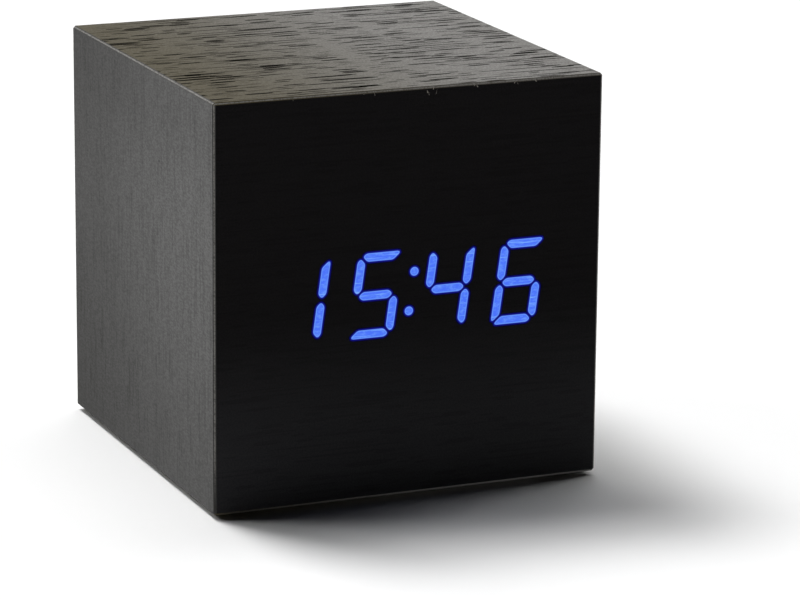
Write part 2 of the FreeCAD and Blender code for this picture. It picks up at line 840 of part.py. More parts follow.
def make_display():
    """Digit module behind the diffuser film, on its board, which is glued to the back of the front board."""
    face = front + film_thickness
    x = about(0, housing_width)
    z = about(display_z, housing_height)
    save("diffuser_film", [block(x, (front, face), z)])
    through = (face - overrun, display_board_front + overrun)
    wells = segments(through, True) + segments(through, False) + colon_dots(through)
    save("digit_housing", [block(x, (face, display_board_front), z).cut(wells)])
    guide = (face, display_board_front - led_room)
    save("lit_segments", segments(guide, True) + colon_dots(guide))
    save("unlit_segments", segments(guide, False))
    chip_y = (display_board_front - led_chip_depth, display_board_front)
    chips = []
    for solid in segments(guide, True) + segments(guide, False) + colon_dots(guide):
        centre = solid.BoundBox.Center
        chips.append(block(about(centre.x, led_chip_width), chip_y, about(centre.z, led_chip_height)))
    save("led_chips", chips)
    board = block(about(0, display_board_width), (display_board_front, display_board_back),
                  about(display_z, display_board_height))
    save("display_board", [board])


def cell_places():
    """Y of each cell's axis and the way its nub points, from the rearmost cell forward."""
    first = tray_offset + (cell_count - 1) / 2 * cell_pitch
    return [(first - k * cell_pitch, 1 if k % 2 == 0 else -1) for k in range(cell_count)]


def make_cells():
    """Cells laid head to tail, each nub on its plate."""
    for number, (y, way) in enumerate(cell_places(), start=1):
        nub = FreeCAD.Vector(way * (compartment_length / 2 - plate_room), y, cell_z)
        shoulder = nub - right * way * nub_length
        can = rod(cell_radius, shoulder, nub - right * way * cell_length)
        save("battery_cell_%d" % number, [can.fuse(post(nub_radius, nub, shoulder))])


def contact_tab(y, way, gap):
    """Tab of an end contact, which passes through the tray's end wall, or its slot when a gap is given."""
    inside = compartment_length / 2 - contact_thickness
    x = sorted((way * inside, way * (inside + contact_thickness + tab_reach)))
    z = about(cell_z + tab_rise, contact_thickness + 2 * gap)
    return block(x, about(y, tab_width + 2 * gap), z)


def contact_strip(first, last, way):
    """Strip on the tray's end wall behind the cells from the first to the last."""
    places = cell_places()
    y = (places[last][0] - contact_margin, places[first][0] + contact_margin)
    inside = compartment_length / 2 - contact_thickness
    x = sorted((way * inside, way * compartment_length / 2))
    return block(x, y, about(cell_z, contact_height))


def make_contacts():
    """Strips with dimples for the nubs, bent leaf springs for the flat ends, and tabs for the two wires."""
    places = cell_places()
    inside = compartment_length / 2 - contact_thickness
    strips = {(0, 0, 1): places[0][0], (0, 1, -1): None, (1, 2, 1): None, (2, 2, -1): places[2][0]}
    plates = []
    for (first, last, way), tab_y in strips.items():
        strip = contact_strip(first, last, way)
        for y, nub_way in places[first:last + 1]:
            if nub_way == way:
                x = sorted((way * inside, way * (inside - contact_dimple_depth)))
                width = contact_dimple_width
                strip = strip.fuse(block(x, about(y, width), about(cell_z, width)))
        if tab_y is not None:
            strip = strip.fuse(contact_tab(tab_y, way, 0))
        plates.append(strip.removeSplitter().Solids[0])
    save("contact_plates", plates)
    springs = []
    for y, nub_way in places:
        way = -nub_way
        foot = way * inside
        tip = foot - way * spring_depth
        sheet = way * spring_sheet
        half = contact_height / 2
        knee = foot - way * spring_tip
        outline = [(foot, half), (tip + sheet, spring_flat / 2), (tip + sheet, -spring_flat / 2), (knee, -half),
                   (knee - sheet, -half), (tip, -spring_flat / 2), (tip, spring_flat / 2), (foot - sheet, half)]
        points = [(x, cell_z + z) for x, z in outline]
        springs.append(prism_back(points, about(y, spring_width)))
    save("contact_springs", springs)


def make_battery_wires():
    """Red and black wire from the contact tabs up to the main board."""
    places = cell_places()
    x = compartment_length / 2 + tab_reach - wire_radius
    top = cell_z + tab_rise + contact_thickness / 2
    for name, (y, way) in (("red", places[0]), ("black", (places[-1][0], -1))):
        tab = FreeCAD.Vector(way * x, y, top)
        climb = tab + up * wire_climb
        landing = FreeCAD.Vector(way * (main_board_width / 2 - wire_side_inset), main_board_front,
                                 panel_z - main_board_height / 2 + wire_end_inset)
        points = [tab, climb, landing + forward * wire_run, landing]
        save(name + "_battery_wire", [wire_along(points, wire_radius, wire_bend)])


def hook_places():
    """Y of the door's two hook tabs, between the cells."""
    return about(tray_offset, cell_pitch)


def make_tray():
    """Moulded tray with flange, door recess, scalloped troughs, hook pockets and contact slots."""
    y = about(tray_offset, flange_width)
    flange = block(about(0, flange_length), y, (base, base + tray_flange_thickness))
    flange = rounded(flange, tray_flange_corner - seam_gap, up)
    collar = block(about(0, collar_length), about(tray_offset, collar_width), (base, collar_top))
    shell = block(about(0, compartment_length + 2 * tray_wall), about(tray_offset, compartment_width + 2 * tray_wall),
                  (ledge_z, tray_top))
    tray = flange.fuse([collar, shell])
    cuts = [block(about(0, recess_length), about(tray_offset, recess_width), (base - overrun, ledge_z))]
    length = about(0, compartment_length)
    cuts.append(block(length, about(tray_offset, compartment_width), (base, cell_z)))
    for cell_y, way in cell_places():
        start = FreeCAD.Vector(length[0], cell_y, cell_z)
        cuts.append(rod(trough_radius, start, start + right * compartment_length))
    channel_y = about(tray_offset, (cell_count - 1) * cell_pitch + 2 * contact_margin)
    for way in (-1, 1):
        x = sorted((way * compartment_length / 2, way * (compartment_length / 2 - spring_room)))
        cuts.append(block(x, channel_y, (base, cell_z + contact_height / 2)))
    for hook_y in hook_places():
        x = (-collar_length / 2 - overrun, -compartment_length / 2 + overrun)
        width = about(hook_y, hook_width + 2 * running_gap)
        cuts.append(block(x, width, (ledge_z, ledge_z + hook_pocket_height)))
    cuts.append(contact_tab(cell_places()[0][0], 1, shaft_gap))
    cuts.append(contact_tab(cell_places()[-1][0], -1, shaft_gap))
    notch = FreeCAD.Vector(recess_length / 2, tray_offset, base - overrun)
    cuts.append(rod(notch_radius, notch, notch + up * (overrun + notch_depth)))
    for x, screw_y in tray_screw_places():
        seat = FreeCAD.Vector(x, screw_y, base + tray_counterbore)
        cuts.append(rod(screw_head_radius + seam_gap, seat, seat - up * (tray_counterbore + overrun)))
        cuts.append(post(pilot_radius, seat, seat + up * tray_flange_thickness))
    save("battery_tray", [tray.cut(cuts).removeSplitter().Solids[0]])
    seats = [FreeCAD.Vector(x, screw_y, base + tray_counterbore) for x, screw_y in tray_screw_places()]
    save("tray_screws", [screw(seat, up, tray_screw_length) for seat in seats])


def make_door():
    """Battery door: round hook edge, two hook tabs, ribs under the cells and a flexing latch tongue."""
    half_length = door_length / 2
    y = about(tray_offset, door_width)
    edge_radius = door_thickness / 2
    pivot = FreeCAD.Vector(edge_radius - half_length, y[0], base + edge_radius)
    door = block((pivot.x, half_length), y, (base, door_inside))
    pieces = [rod(edge_radius, pivot, pivot + rearward * door_width)]
    for x in (-door_rib_spacing, 0, door_rib_spacing):
        pieces.append(block(about(x, door_rib_width), about(tray_offset, compartment_width - 2 * running_gap),
                            (door_inside, door_inside + door_rib_height)))
    for hook_y in hook_places():
        root = running_gap - compartment_length / 2
        tip = -recess_length / 2 - hook_reach
        top = door_inside + hook_height
        outline = [(root + hook_root, door_inside), (root + hook_root, top), (tip, top), (tip, door_inside + hook_lift),
                   (root, door_inside + hook_lift), (root, door_inside)]
        points = [FreeCAD.Vector(x, hook_y - hook_width / 2, z) for x, z in outline]
        pieces.append(prism(points, rearward * hook_width))
    cuts = []
    for side in (-1, 1):
        slot_y = tray_offset + side * (latch_width + latch_slot) / 2
        cuts.append(block((half_length - latch_length, half_length + overrun), about(slot_y, latch_slot),
                          (base - overrun, door_inside + overrun)))
    door = door.fuse(pieces).cut(cuts)
    save("battery_door", [door.removeSplitter().Solids[0]])


os.makedirs("parts", exist_ok=True)
make_sleeve()
make_veneers()
make_front_board()
make_back_board()
make_feet()
make_rear_panel()
for button_name, x, z in button_places():
    make_button(button_name, x, z)
make_switches()
make_speaker()
make_microphone()
make_main_board()
make_power_socket()
make_chips()
make_board_parts()
make_ribbon()
make_display()
make_cells()
make_contacts()
make_battery_wires()
make_tray()
make_door()
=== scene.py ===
from math import cos, pi, radians, sin, tan

import bmesh
import bpy
from bpy.props import FloatProperty, FloatVectorProperty, IntProperty, PointerProperty
from mathutils import Matrix, Vector


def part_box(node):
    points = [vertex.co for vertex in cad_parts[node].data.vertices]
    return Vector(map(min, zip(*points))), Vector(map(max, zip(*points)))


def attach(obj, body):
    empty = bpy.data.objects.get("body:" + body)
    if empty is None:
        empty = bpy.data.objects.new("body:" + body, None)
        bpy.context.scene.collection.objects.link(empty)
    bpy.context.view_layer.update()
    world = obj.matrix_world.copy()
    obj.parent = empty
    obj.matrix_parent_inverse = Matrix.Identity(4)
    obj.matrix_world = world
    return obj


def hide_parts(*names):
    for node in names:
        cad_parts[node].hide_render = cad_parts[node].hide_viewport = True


bl_info = {
    "name": "Veneered cube clock",
    "version": (1, 0, 0),
    "blender": (4, 5, 0),
    "location": "3D View > Sidebar > Clock",
    "description": "Finishes, lit figures and small fittings for the frame of a veneered cube clock",
    "category": "Object",
}

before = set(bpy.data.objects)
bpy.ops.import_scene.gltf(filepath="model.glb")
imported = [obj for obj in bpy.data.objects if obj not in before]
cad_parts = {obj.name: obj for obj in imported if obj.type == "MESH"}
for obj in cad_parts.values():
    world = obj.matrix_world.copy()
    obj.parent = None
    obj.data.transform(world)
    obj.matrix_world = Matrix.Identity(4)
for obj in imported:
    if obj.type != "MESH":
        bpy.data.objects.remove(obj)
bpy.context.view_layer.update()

MM = 0.001
RIGHT = Vector((1, 0, 0))
REAR = Vector((0, 1, 0))
UP = Vector((0, 0, 1))
FRONT_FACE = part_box("front_veneer")[0].y
CASE_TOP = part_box("wrapped_veneer")[1].z
HOUSING_LOW, HOUSING_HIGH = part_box("digit_housing")
# The lit figures lie a little to the right of the housing's middle and below it
DISPLAY_MIDDLE = (HOUSING_LOW + HOUSING_HIGH) / 2 + Vector((0.25 * MM, 0, -0.05 * MM))

# Which bars are lit in the figures from 0 to 9, by the usual letters of a seven-bar figure
LIT_BARS = (
    "abcdef", "bc", "abdeg", "abcdg", "bcfg", "acdfg", "acdefg", "abc", "abcdefg", "abcdfg")


# Sizes and colours that a user may change

def colour_setting(name, description, default):
    return FloatVectorProperty(
        name=name, description=description, subtype="COLOR", size=3, min=0, max=1, default=default)


def length_setting(name, description, default):
    return FloatProperty(name=name, description=description, unit="LENGTH", min=0.0001, default=default)


def angle_setting(name, description, default):
    return FloatProperty(name=name, description=description, subtype="ANGLE", default=default)


class VeneerLook(bpy.types.PropertyGroup):
    stain: colour_setting(
        "Stain", "Colour of the stained wood under the varnish", (0.048, 0.042, 0.032))
    warm_stain: colour_setting("Warm stain", "Colour of the browner end of the top", (0.057, 0.047, 0.023))
    pore_length: length_setting("Pore length", "Usual spacing of the pores along the grain", 0.022)
    pore_width: length_setting("Pore width", "Usual spacing of the pores across the grain", 0.0020)
    varnish_roughness: FloatProperty(
        name="Varnish roughness", description="How dull the varnish is",
        subtype="FACTOR", min=0, max=1, default=0.34)


class DisplayLook(bpy.types.PropertyGroup):
    hours: IntProperty(name="Hours", description="Hours that the display shows", min=0, max=23, default=15)
    minutes: IntProperty(
        name="Minutes", description="Minutes that the display shows", min=0, max=59, default=46)
    lit_colour: colour_setting("Lit colour", "Light of the bars", (0.070, 0.170, 0.95))
    bright_colour: colour_setting(
        "Bright colour", "Light of a bar's edge and brighter spots", (0.19, 0.41, 1.0))
    halo_colour: colour_setting(
        "Halo colour", "Light that creeps through the veneer beside a bar", (0.004, 0.004, 0.26))
    halo_width: length_setting("Halo width", "Reach of the light beside a bar", 0.00045)
    figure_width: length_setting("Figure width", "Width of an upright figure", 0.0079)
    figure_height: length_setting("Figure height", "Height of a figure", 0.0141)
    stroke: length_setting("Stroke", "Width of a bar", 0.00135)
    gap: length_setting("Gap", "Dark gap between two bars", 0.00048)
    pitch: length_setting("Pitch", "Distance from one figure to the next", 0.0127)
    corner: length_setting("Corner", "Rounding of a bar's corners", 0.00034)
    slant: angle_setting("Slant", "Lean of the figures", radians(8))


class FittingLook(bpy.types.PropertyGroup):
    dish: length_setting("Button dish", "Depth of the hollow in a button's face", 0.00022)
    rim: length_setting("Button rim", "Rounding of a button's edge", 0.00025)
    cross_reach: FloatProperty(
        name="Cross reach", description="Half length of a screw's cross recess, as a share of its head",
        subtype="FACTOR", min=0.2, max=0.6, default=0.52)
    ridges: IntProperty(
        name="Grip ridges", description="Ridges on the battery door", min=1, max=12, default=6)


class StageLook(bpy.types.PropertyGroup):
    floor_colour: colour_setting("Floor colour", "Paint of the floor", (0.88, 0.88, 0.88))
    lamp_strength: FloatProperty(
        name="Lamp strength", description="Light that all lamps together throw on the floor", min=0,
        default=3.95)
    lamp_spread: angle_setting(
        "Lamp spread", "Angle under which each lamp is seen, which softens the shadow", radians(21))
    lens: FloatProperty(name="Lens", description="Focal length in millimetres", default=181.461)


# Small helpers for materials

def feed(node, inputs):
    """Gives each named socket of a node its value or its link."""
    for name, value in inputs.items():
        if isinstance(value, bpy.types.NodeSocket):
            node.id_data.links.new(value, node.inputs[name])
        else:
            node.inputs[name].default_value = value


def put(tree, kind, inputs=None, **settings):
    """Adds a shader node of a kind, with its settings and its inputs."""
    made = tree.nodes.new("ShaderNode" + kind)
    for name, value in settings.items():
        setattr(made, name, value)
    feed(made, inputs or {})
    return made


def calc(tree, operation, first, second=0.0):
    """The result of one sum on sockets or numbers."""
    return put(tree, "Math", {0: first, 1: second}, operation=operation).outputs[0]


def product(tree, first, *others):
    """Sockets or numbers multiplied together."""
    for other in others:
        first = calc(tree, "MULTIPLY", first, other)
    return first


def total(tree, first, *others):
    """Sockets or numbers added together."""
    for other in others:
        first = calc(tree, "ADD", first, other)
    return first


def beyond(tree, value, limit):
    """One where a value lies further than a limit to either side of nought, and nought elsewhere."""
    return calc(tree, "GREATER_THAN", calc(tree, "ABSOLUTE", value), limit)


def blend_values(tree, share, first, second):
    """A number that goes from the first to the second as the share goes from nought to one."""
    return put(tree, "Mix", {0: share, 2: first, 3: second}, data_type="FLOAT").outputs[0]


def blend_colours(tree, share, first, second):
    """A colour that goes from the first to the second as the share goes from nought to one."""
    return put(tree, "Mix", {0: share, 6: first, 7: second}, data_type="RGBA").outputs[2]


def rescale(tree, value, low, high, new_low=0.0, new_high=1.0):
    """A value carried smoothly from one range to another, and held at its ends."""
    return put(
        tree, "MapRange", {0: value, 1: low, 2: high, 3: new_low, 4: new_high},
        interpolation_type="SMOOTHSTEP").outputs[0]


def rgba(colour, brightness=1.0):
    """A colour with its alpha, made lighter or darker."""
    return (colour[0] * brightness, colour[1] * brightness, colour[2] * brightness, 1.0)


def object_point(tree, scale=(1, 1, 1)):
    """The place on the piece, stretched."""
    place = put(tree, "TexCoord").outputs["Object"]
    return put(tree, "Mapping", {"Vector": place, "Scale": scale}).outputs[0]


def cloudy(tree, point, size, detail=3.0, roughness=0.5, distortion=0.0):
    """Soft patches of a size in metres, from nought to one."""
    return put(
        tree, "TexNoise",
        {"Vector": point, "Scale": 1 / size, "Detail": detail, "Roughness": roughness,
         "Distortion": distortion}).outputs[0]


def raised(tree, height, reach, strength=1.0):
    """The normal of a surface with this relief."""
    return put(
        tree, "Bump", {"Height": height, "Distance": reach, "Strength": strength}).outputs[0]


def blank(name, roughness, metallic=0.0):
    """A new material with its tree and its shader."""
    material = bpy.data.materials.new(name)
    material.use_nodes = True
    shader = material.node_tree.nodes["Principled BSDF"]
    feed(shader, {"Roughness": roughness, "Metallic": metallic})
    return material, material.node_tree, shader


def mottled(name, colour, roughness, grain, depth, contrast=0.2, gloss=0.5):
    """A moulded or painted finish: two shades, slightly uneven gloss, and grain given in millimetres."""
    material, tree, shader = blank(name, roughness)
    point = object_point(tree)
    patches = cloudy(tree, point, grain * MM * 14, 4.0)
    fine = cloudy(tree, point, grain * MM, 2.0, 0.6)
    shade = total(tree, product(tree, patches, 0.6), product(tree, fine, 0.4))
    smooth = max(roughness - 0.12, 0.02)
    rough = min(roughness + 0.12, 1.0)
    feed(shader, {
        "Base Color": blend_colours(tree, shade, rgba(colour, 1 - contrast), rgba(colour, 1 + contrast)),
        "Roughness": rescale(tree, shade, 0.3, 0.7, smooth, rough),
        "Normal": raised(tree, fine, depth * MM, 0.6),
        "Specular IOR Level": gloss})
    return material


def brushed(name, colour, roughness, stretch=(1, 1, 1)):
    """A plated metal with drawn lines along one direction and a few dull spots."""
    material, tree, shader = blank(name, roughness, 1.0)
    lines = cloudy(tree, object_point(tree, stretch), 1 * MM, 4.0, 0.7)
    spots = cloudy(tree, object_point(tree), 2.2 * MM, 3.0)
    feed(shader, {
        "Base Color": blend_colours(tree, lines, rgba(colour, 0.72), rgba(colour, 1.12)),
        "Roughness": rescale(tree, spots, 0.35, 0.7, roughness, min(roughness + 0.2, 1.0)),
        "Normal": raised(tree, lines, 0.004 * MM, 0.5)})
    return material


def pressed_fibre():
    """Bare fibreboard: felted fibres in two browns with darker flecks."""
    material, tree, shader = blank("pressed_fibre", 0.92)
    felt = cloudy(tree, object_point(tree, (1, 1, 2.2)), 0.5 * MM, 5.0, 0.7, 0.8)
    flecks = cloudy(tree, object_point(tree, (0.5, 0.5, 1.6)), 0.35 * MM, 2.0)
    brown = blend_colours(tree, felt, (0.22, 0.135, 0.075, 1), (0.46, 0.33, 0.21, 1))
    flecked = rescale(tree, flecks, 0.62, 0.75, 0.0, 0.7)
    feed(shader, {
        "Base Color": blend_colours(tree, flecked, brown, (0.10, 0.06, 0.035, 1)),
        "Normal": raised(tree, felt, 0.05 * MM, 0.7)})
    return material


def pore_marks(tree, along, across, length, width):
    """Short blunt dashes along the grain: one in a pore and nought in the wood between them."""
    point = put(
        tree, "CombineXYZ",
        {0: calc(tree, "DIVIDE", along, length), 1: calc(tree, "DIVIDE", across, width), 2: 0.0}).outputs[0]
    wobble = put(
        tree, "TexNoise", {"Vector": point, "Scale": 0.35, "Detail": 2.0}, noise_dimensions="2D")
    sway = put(
        tree, "VectorMath", {0: wobble.outputs["Color"], 1: (0.40, 0.035, 0.0)},
        operation="MULTIPLY").outputs[0]
    bent = put(tree, "VectorMath", {0: point, 1: sway}, operation="ADD").outputs[0]
    dots = put(
        tree, "TexVoronoi", {"Vector": bent, "Scale": 1.0, "Randomness": 1.0, "Exponent": 2.6},
        voronoi_dimensions="2D", feature="F1", distance="MINKOWSKI")
    chance = put(tree, "SeparateColor", {0: dots.outputs["Color"]}).outputs[0]
    size = calc(tree, "MULTIPLY", chance, 0.20)
    return rescale(tree, calc(tree, "SUBTRACT", dots.outputs["Distance"], size), 0.02, 0.04, 1.0, 0.0)


def stained_veneer(look):
    """Black-stained open-pored veneer under satin varnish, with its grain turned to suit each face."""
    material, tree, shader = blank("stained_veneer", 0.62)
    place = put(tree, "TexCoord")
    point = put(tree, "SeparateXYZ", {0: place.outputs["Object"]})
    facing = put(tree, "SeparateXYZ", {0: place.outputs["Normal"]})
    x, y, z = [point.outputs[axis] for axis in "XYZ"]
    on_side = beyond(tree, facing.outputs["X"], 0.60)
    on_front = beyond(tree, facing.outputs["Y"], 0.8)
    on_top = calc(tree, "SUBTRACT", calc(tree, "SUBTRACT", 1.0, on_side), on_front)
    # The sheet round the case keeps its grain from side to top to side, and the front one lies across
    side_shift = product(tree, calc(tree, "SIGN", facing.outputs["X"]), on_side, 0.31)
    along = total(tree, blend_values(tree, on_side, x, z), side_shift)
    across = total(tree, blend_values(tree, on_front, y, z), product(tree, on_front, 0.17))
    sheet, slow = [
        put(tree, "CombineXYZ", {0: product(tree, along, squeeze), 1: across, 2: 0.0}).outputs[0]
        for squeeze in (0.05, 0.22)]
    bands = cloudy(tree, slow, 6.0 * MM, 2.0)
    streaks = cloudy(tree, sheet, 0.42 * MM, 3.0, 0.6)
    wide_streaks = cloudy(tree, sheet, 1.6 * MM, 2.0)
    speckle = cloudy(tree, object_point(tree, (1, 0.4, 1)), 0.30 * MM, 2.0, 0.7)
    # Long pores crowd into bands, and short and hair-thin ones lie everywhere
    long_pores = pore_marks(tree, along, across, look.pore_length, look.pore_width)
    pores = product(tree, long_pores, rescale(tree, bands, 0.42, 0.50))
    for longer, wider, darkness in ((0.50, 0.80, 1.0), (0.30, 0.50, 0.4), (1.7, 0.45, 0.95)):
        other_pores = pore_marks(tree, along, across, look.pore_length * longer, look.pore_width * wider)
        pores = calc(tree, "MAXIMUM", pores, product(tree, other_pores, darkness))
    strength = total(tree, product(tree, on_top, 0.86), 0.14)
    # Painted sheen and shade in the varnish's reflection: on the sides it is darker towards the table, the
    # rear and the top, on the top darker to the left, and on the front darker high up
    side_reflection_shade = product(
        tree, rescale(tree, z, 0.0, 45 * MM, 0.66, 1.0), rescale(tree, y, -30 * MM, 36 * MM, 0.90, 0.53),
        rescale(tree, z, 50 * MM, 66 * MM, 1.0, 0.88))
    top_painted_sheen = rescale(tree, x, -36 * MM, 24 * MM, 0.35, 1.07)
    front_reflection_shade = rescale(tree, z, 4 * MM, 40 * MM, 1.0, 0.46)
    painted_sheen = blend_values(tree, on_side, blend_values(tree, on_front, top_painted_sheen, front_reflection_shade), side_reflection_shade)
    # A painted highlight runs along the middle of each arris and fades out near the table
    half_arris = 0.2 * MM
    axes_faced = total(tree, *[beyond(tree, facing.outputs[axis], 0.5) for axis in "XYZ"])
    leaning = calc(tree, "GREATER_THAN", axes_faced, 1.5)
    front_or_back = beyond(tree, facing.outputs["Y"], 0.5)
    from_top = calc(tree, "SUBTRACT", z, CASE_TOP - half_arris)
    from_face = total(tree, calc(tree, "ABSOLUTE", y), FRONT_FACE + half_arris)
    off_middle = calc(tree, "ABSOLUTE", blend_values(tree, front_or_back, from_top, from_face))
    painted_edge_highlight = product(
        tree, leaning, rescale(tree, off_middle, 0.05 * MM, 0.13 * MM, 1.0, 0.0),
        rescale(tree, speckle, 0.34, 0.60, 0.35, 1.0), rescale(tree, z, 1.5 * MM, 12 * MM),
        rescale(tree, facing.outputs["Y"], 0.3, 0.6, 1.0, 0.3))
    arris = blend_values(tree, leaning, 1.0, 0.8)
    marks = product(tree, pores, strength, calc(tree, "SUBTRACT", 1.0, leaning))
    # The front and back sheets are given painted shade, darker than the wrapped sheet, and are lighter low
    # down as a painted reflection of the floor; the sides of the wrapped sheet are greyer than its top
    side_stain = rgba((0.034, 0.033, 0.031))
    front_shade_colour = rgba((0.0100, 0.0088, 0.0096))
    front_floor_reflection_colour = rgba((0.027, 0.0265, 0.030))
    pore_stain = rgba((0.0050, 0.0045, 0.004))
    # Pale colour of the painted highlight on the arrises
    edge_highlight_colour = rgba((0.20, 0.193, 0.18))
    warmer = rescale(tree, x, -36 * MM, 20 * MM, 1.0, 0.0)
    top_wood = blend_colours(tree, warmer, rgba(look.stain), rgba(look.warm_stain))
    around = blend_colours(tree, on_side, top_wood, side_stain)
    # Painted shade on the front and back sheets, lightened low down by a painted reflection of the floor
    front_shaded_wood = blend_colours(
        tree, rescale(tree, z, 5 * MM, 34 * MM, 1.0, 0.0), front_shade_colour, front_floor_reflection_colour)
    wood = blend_colours(tree, on_front, around, front_shaded_wood)
    pored = blend_colours(tree, marks, wood, pore_stain)
    # The painted highlight is laid over the arrises
    coloured = blend_colours(tree, painted_edge_highlight, pored, edge_highlight_colour)
    # One dark fleck on the left side
    fleck = put(
        tree, "VectorMath", {0: place.outputs["Object"], 1: (-34 * MM, -9.2 * MM, 54.05 * MM)},
        operation="DISTANCE").outputs["Value"]
    even = total(tree, product(tree, streaks, 0.34), product(tree, wide_streaks, 0.26), 0.62)
    # The varnish's weight carries the grain's streaks and flecks and also the painted sheen and shade
    cover = product(
        tree, even, rescale(tree, speckle, 0.3, 0.7, 0.70, 1.14), painted_sheen, arris,
        calc(tree, "SUBTRACT", 1.0, marks), rescale(tree, fleck, 0.22 * MM, 0.32 * MM, 0.35, 1.0))
    relief = calc(tree, "SUBTRACT", product(tree, streaks, 0.25), product(tree, pores, 0.8))
    normal = raised(tree, relief, 0.012 * MM, 0.35)
    feed(shader, {
        "Base Color": coloured, "Coat Weight": cover, "Coat Roughness": look.varnish_roughness,
        "Specular IOR Level": 0.0, "Normal": normal, "Coat Normal": normal})
    return material


def glowing_bar(look):
    """Light through the veneer: dark halo, bright rim and a mottled fill with thin bright lines."""
    material, tree, shader = blank("glowing_bar", 0.6)
    depth = put(tree, "Attribute", attribute_name="glow").outputs["Fac"]
    mottle = cloudy(tree, object_point(tree, (0.45, 1, 1)), 0.5 * MM, 4.0, 0.7)
    hairs = cloudy(tree, object_point(tree, (0.04, 1, 1)), 0.32 * MM, 2.0, 0.6)
    lift = total(
        tree, rescale(tree, mottle, 0.42, 0.70, 0.0, 0.6), rescale(tree, hairs, 0.60, 0.68))
    rim = rescale(tree, depth, 0.62, 1.0, 0.6, 0.0)
    filled = blend_colours(
        tree, calc(tree, "MINIMUM", calc(tree, "MAXIMUM", lift, rim), 1.0), rgba(look.lit_colour),
        rgba(look.bright_colour))
    halo = blend_colours(
        tree, rescale(tree, depth, 0.0, 0.45), (0, 0, 0, 1), rgba(look.halo_colour))
    inside = rescale(tree, depth, 0.42, 0.56)
    feed(shader, {
        "Base Color": rgba((0.004, 0.004, 0.006)), "Specular IOR Level": 0.1,
        "Emission Color": blend_colours(tree, inside, halo, filled), "Emission Strength": 1.0})
    return material


def circuit_laminate():
    """Green lacquered laminate: lighter tracks under the lacquer, tinned pads and a woven shimmer."""
    material, tree, shader = blank("circuit_laminate", 0.35)
    point = object_point(tree)
    tracks = put(
        tree, "TexVoronoi", {"Vector": point, "Scale": 1 / (3.2 * MM), "Randomness": 0.9},
        feature="F2", distance="CHEBYCHEV").outputs["Distance"]
    banded = calc(tree, "PINGPONG", tracks, 0.11)
    line = rescale(tree, banded, 0.07, 0.09)
    pads = put(
        tree, "TexVoronoi", {"Vector": point, "Scale": 1 / (2.54 * MM), "Randomness": 0.25},
        feature="F1").outputs["Distance"]
    pad = rescale(tree, pads, 0.10, 0.14, 1.0, 0.0)
    weave = cloudy(tree, point, 0.3 * MM, 2.0)
    green = blend_colours(tree, line, (0.008, 0.062, 0.024, 1), (0.02, 0.15, 0.06, 1))
    woven = blend_colours(tree, product(tree, weave, 0.35), green, (0.03, 0.11, 0.05, 1))
    feed(shader, {
        "Base Color": blend_colours(tree, pad, woven, (0.62, 0.61, 0.58, 1)), "Metallic": pad,
        "Normal": raised(tree, total(tree, line, product(tree, pad, 1.5)), 0.02 * MM)})
    return material


def light_guide(name, dark, light, glow):
    """Cast resin of a light guide: cloudy, with small grains that scatter the light."""
    material, tree, shader = blank(name, 0.3)
    grains = cloudy(tree, object_point(tree), 0.35 * MM, 4.0, 0.6)
    shade = blend_colours(tree, grains, dark, light)
    feed(shader, {"Base Color": shade, "Normal": raised(tree, grains, 0.01 * MM)})
    if glow:
        feed(shader, {"Emission Color": shade, "Emission Strength": glow})
    return material


def ribbon_finish():
    """Grey ribbon cable: a ridge for each core, with painted shade darkening the grooves between them."""
    material, tree, shader = blank("ribbon_jacket", 0.45)
    cores = put(
        tree, "TexWave", {"Vector": object_point(tree), "Scale": 250.0, "Distortion": 0.0},
        wave_type="BANDS", bands_direction="X").outputs["Fac"]
    dust = cloudy(tree, object_point(tree), 0.7 * MM, 3.0)
    # Painted shade: the grey is darker in the grooves between the cores and lighter on their ridges
    grey = blend_colours(tree, cores, (0.30, 0.30, 0.32, 1), (0.50, 0.50, 0.52, 1))
    feed(shader, {
        "Base Color": blend_colours(tree, product(tree, dust, 0.3), grey, (0.36, 0.36, 0.36, 1)),
        "Normal": raised(tree, cores, 0.15 * MM)})
    return material


def cell_sleeve():
    """Plain printed sleeve of a dry cell: two greys that change in soft rings along its length."""
    material, tree, shader = blank("cell_sleeve", 0.28, 0.55)
    rings = cloudy(tree, object_point(tree, (1, 0.001, 0.001)), 11 * MM, 0.0)
    dents = cloudy(tree, object_point(tree), 1.2 * MM, 3.0)
    grey = blend_colours(
        tree, rescale(tree, rings, 0.49, 0.51), (0.10, 0.115, 0.14, 1), (0.30, 0.32, 0.35, 1))
    feed(shader, {
        "Base Color": grey, "Roughness": rescale(tree, dents, 0.3, 0.7, 0.22, 0.38),
        "Normal": raised(tree, dents, 0.01 * MM, 0.5)})
    return material


def dress(material, *nodes):
    """Gives CAD nodes a finish."""
    for name in nodes:
        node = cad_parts[name]
        if not node.material_slots:
            node.data.materials.append(material)
        for place in node.material_slots:
            place.material = material


# Small helpers for shapes

def in_scene(name, data):
    """A new object of the scene with this data."""
    made = bpy.data.objects.new(name, data)
    bpy.context.scene.collection.objects.link(made)
    return made


def new_piece(name, mesh_maker, materials, body, replaces=()):
    """Makes an object of a finished mesh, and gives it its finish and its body."""
    bmesh.ops.remove_doubles(mesh_maker, verts=mesh_maker.verts, dist=0.0005 * MM)
    bmesh.ops.recalc_face_normals(mesh_maker, faces=mesh_maker.faces)
    for face in mesh_maker.faces:
        face.smooth = True
    mesh = bpy.data.meshes.new(name)
    mesh_maker.to_mesh(mesh)
    mesh_maker.free()
    sharpest_smooth = radians(38)
    mesh.set_sharp_from_angle(angle=sharpest_smooth)
    for material in materials:
        mesh.materials.append(material)
    piece = in_scene(name, mesh)
    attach(piece, body)
    if replaces:
        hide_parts(*replaces)


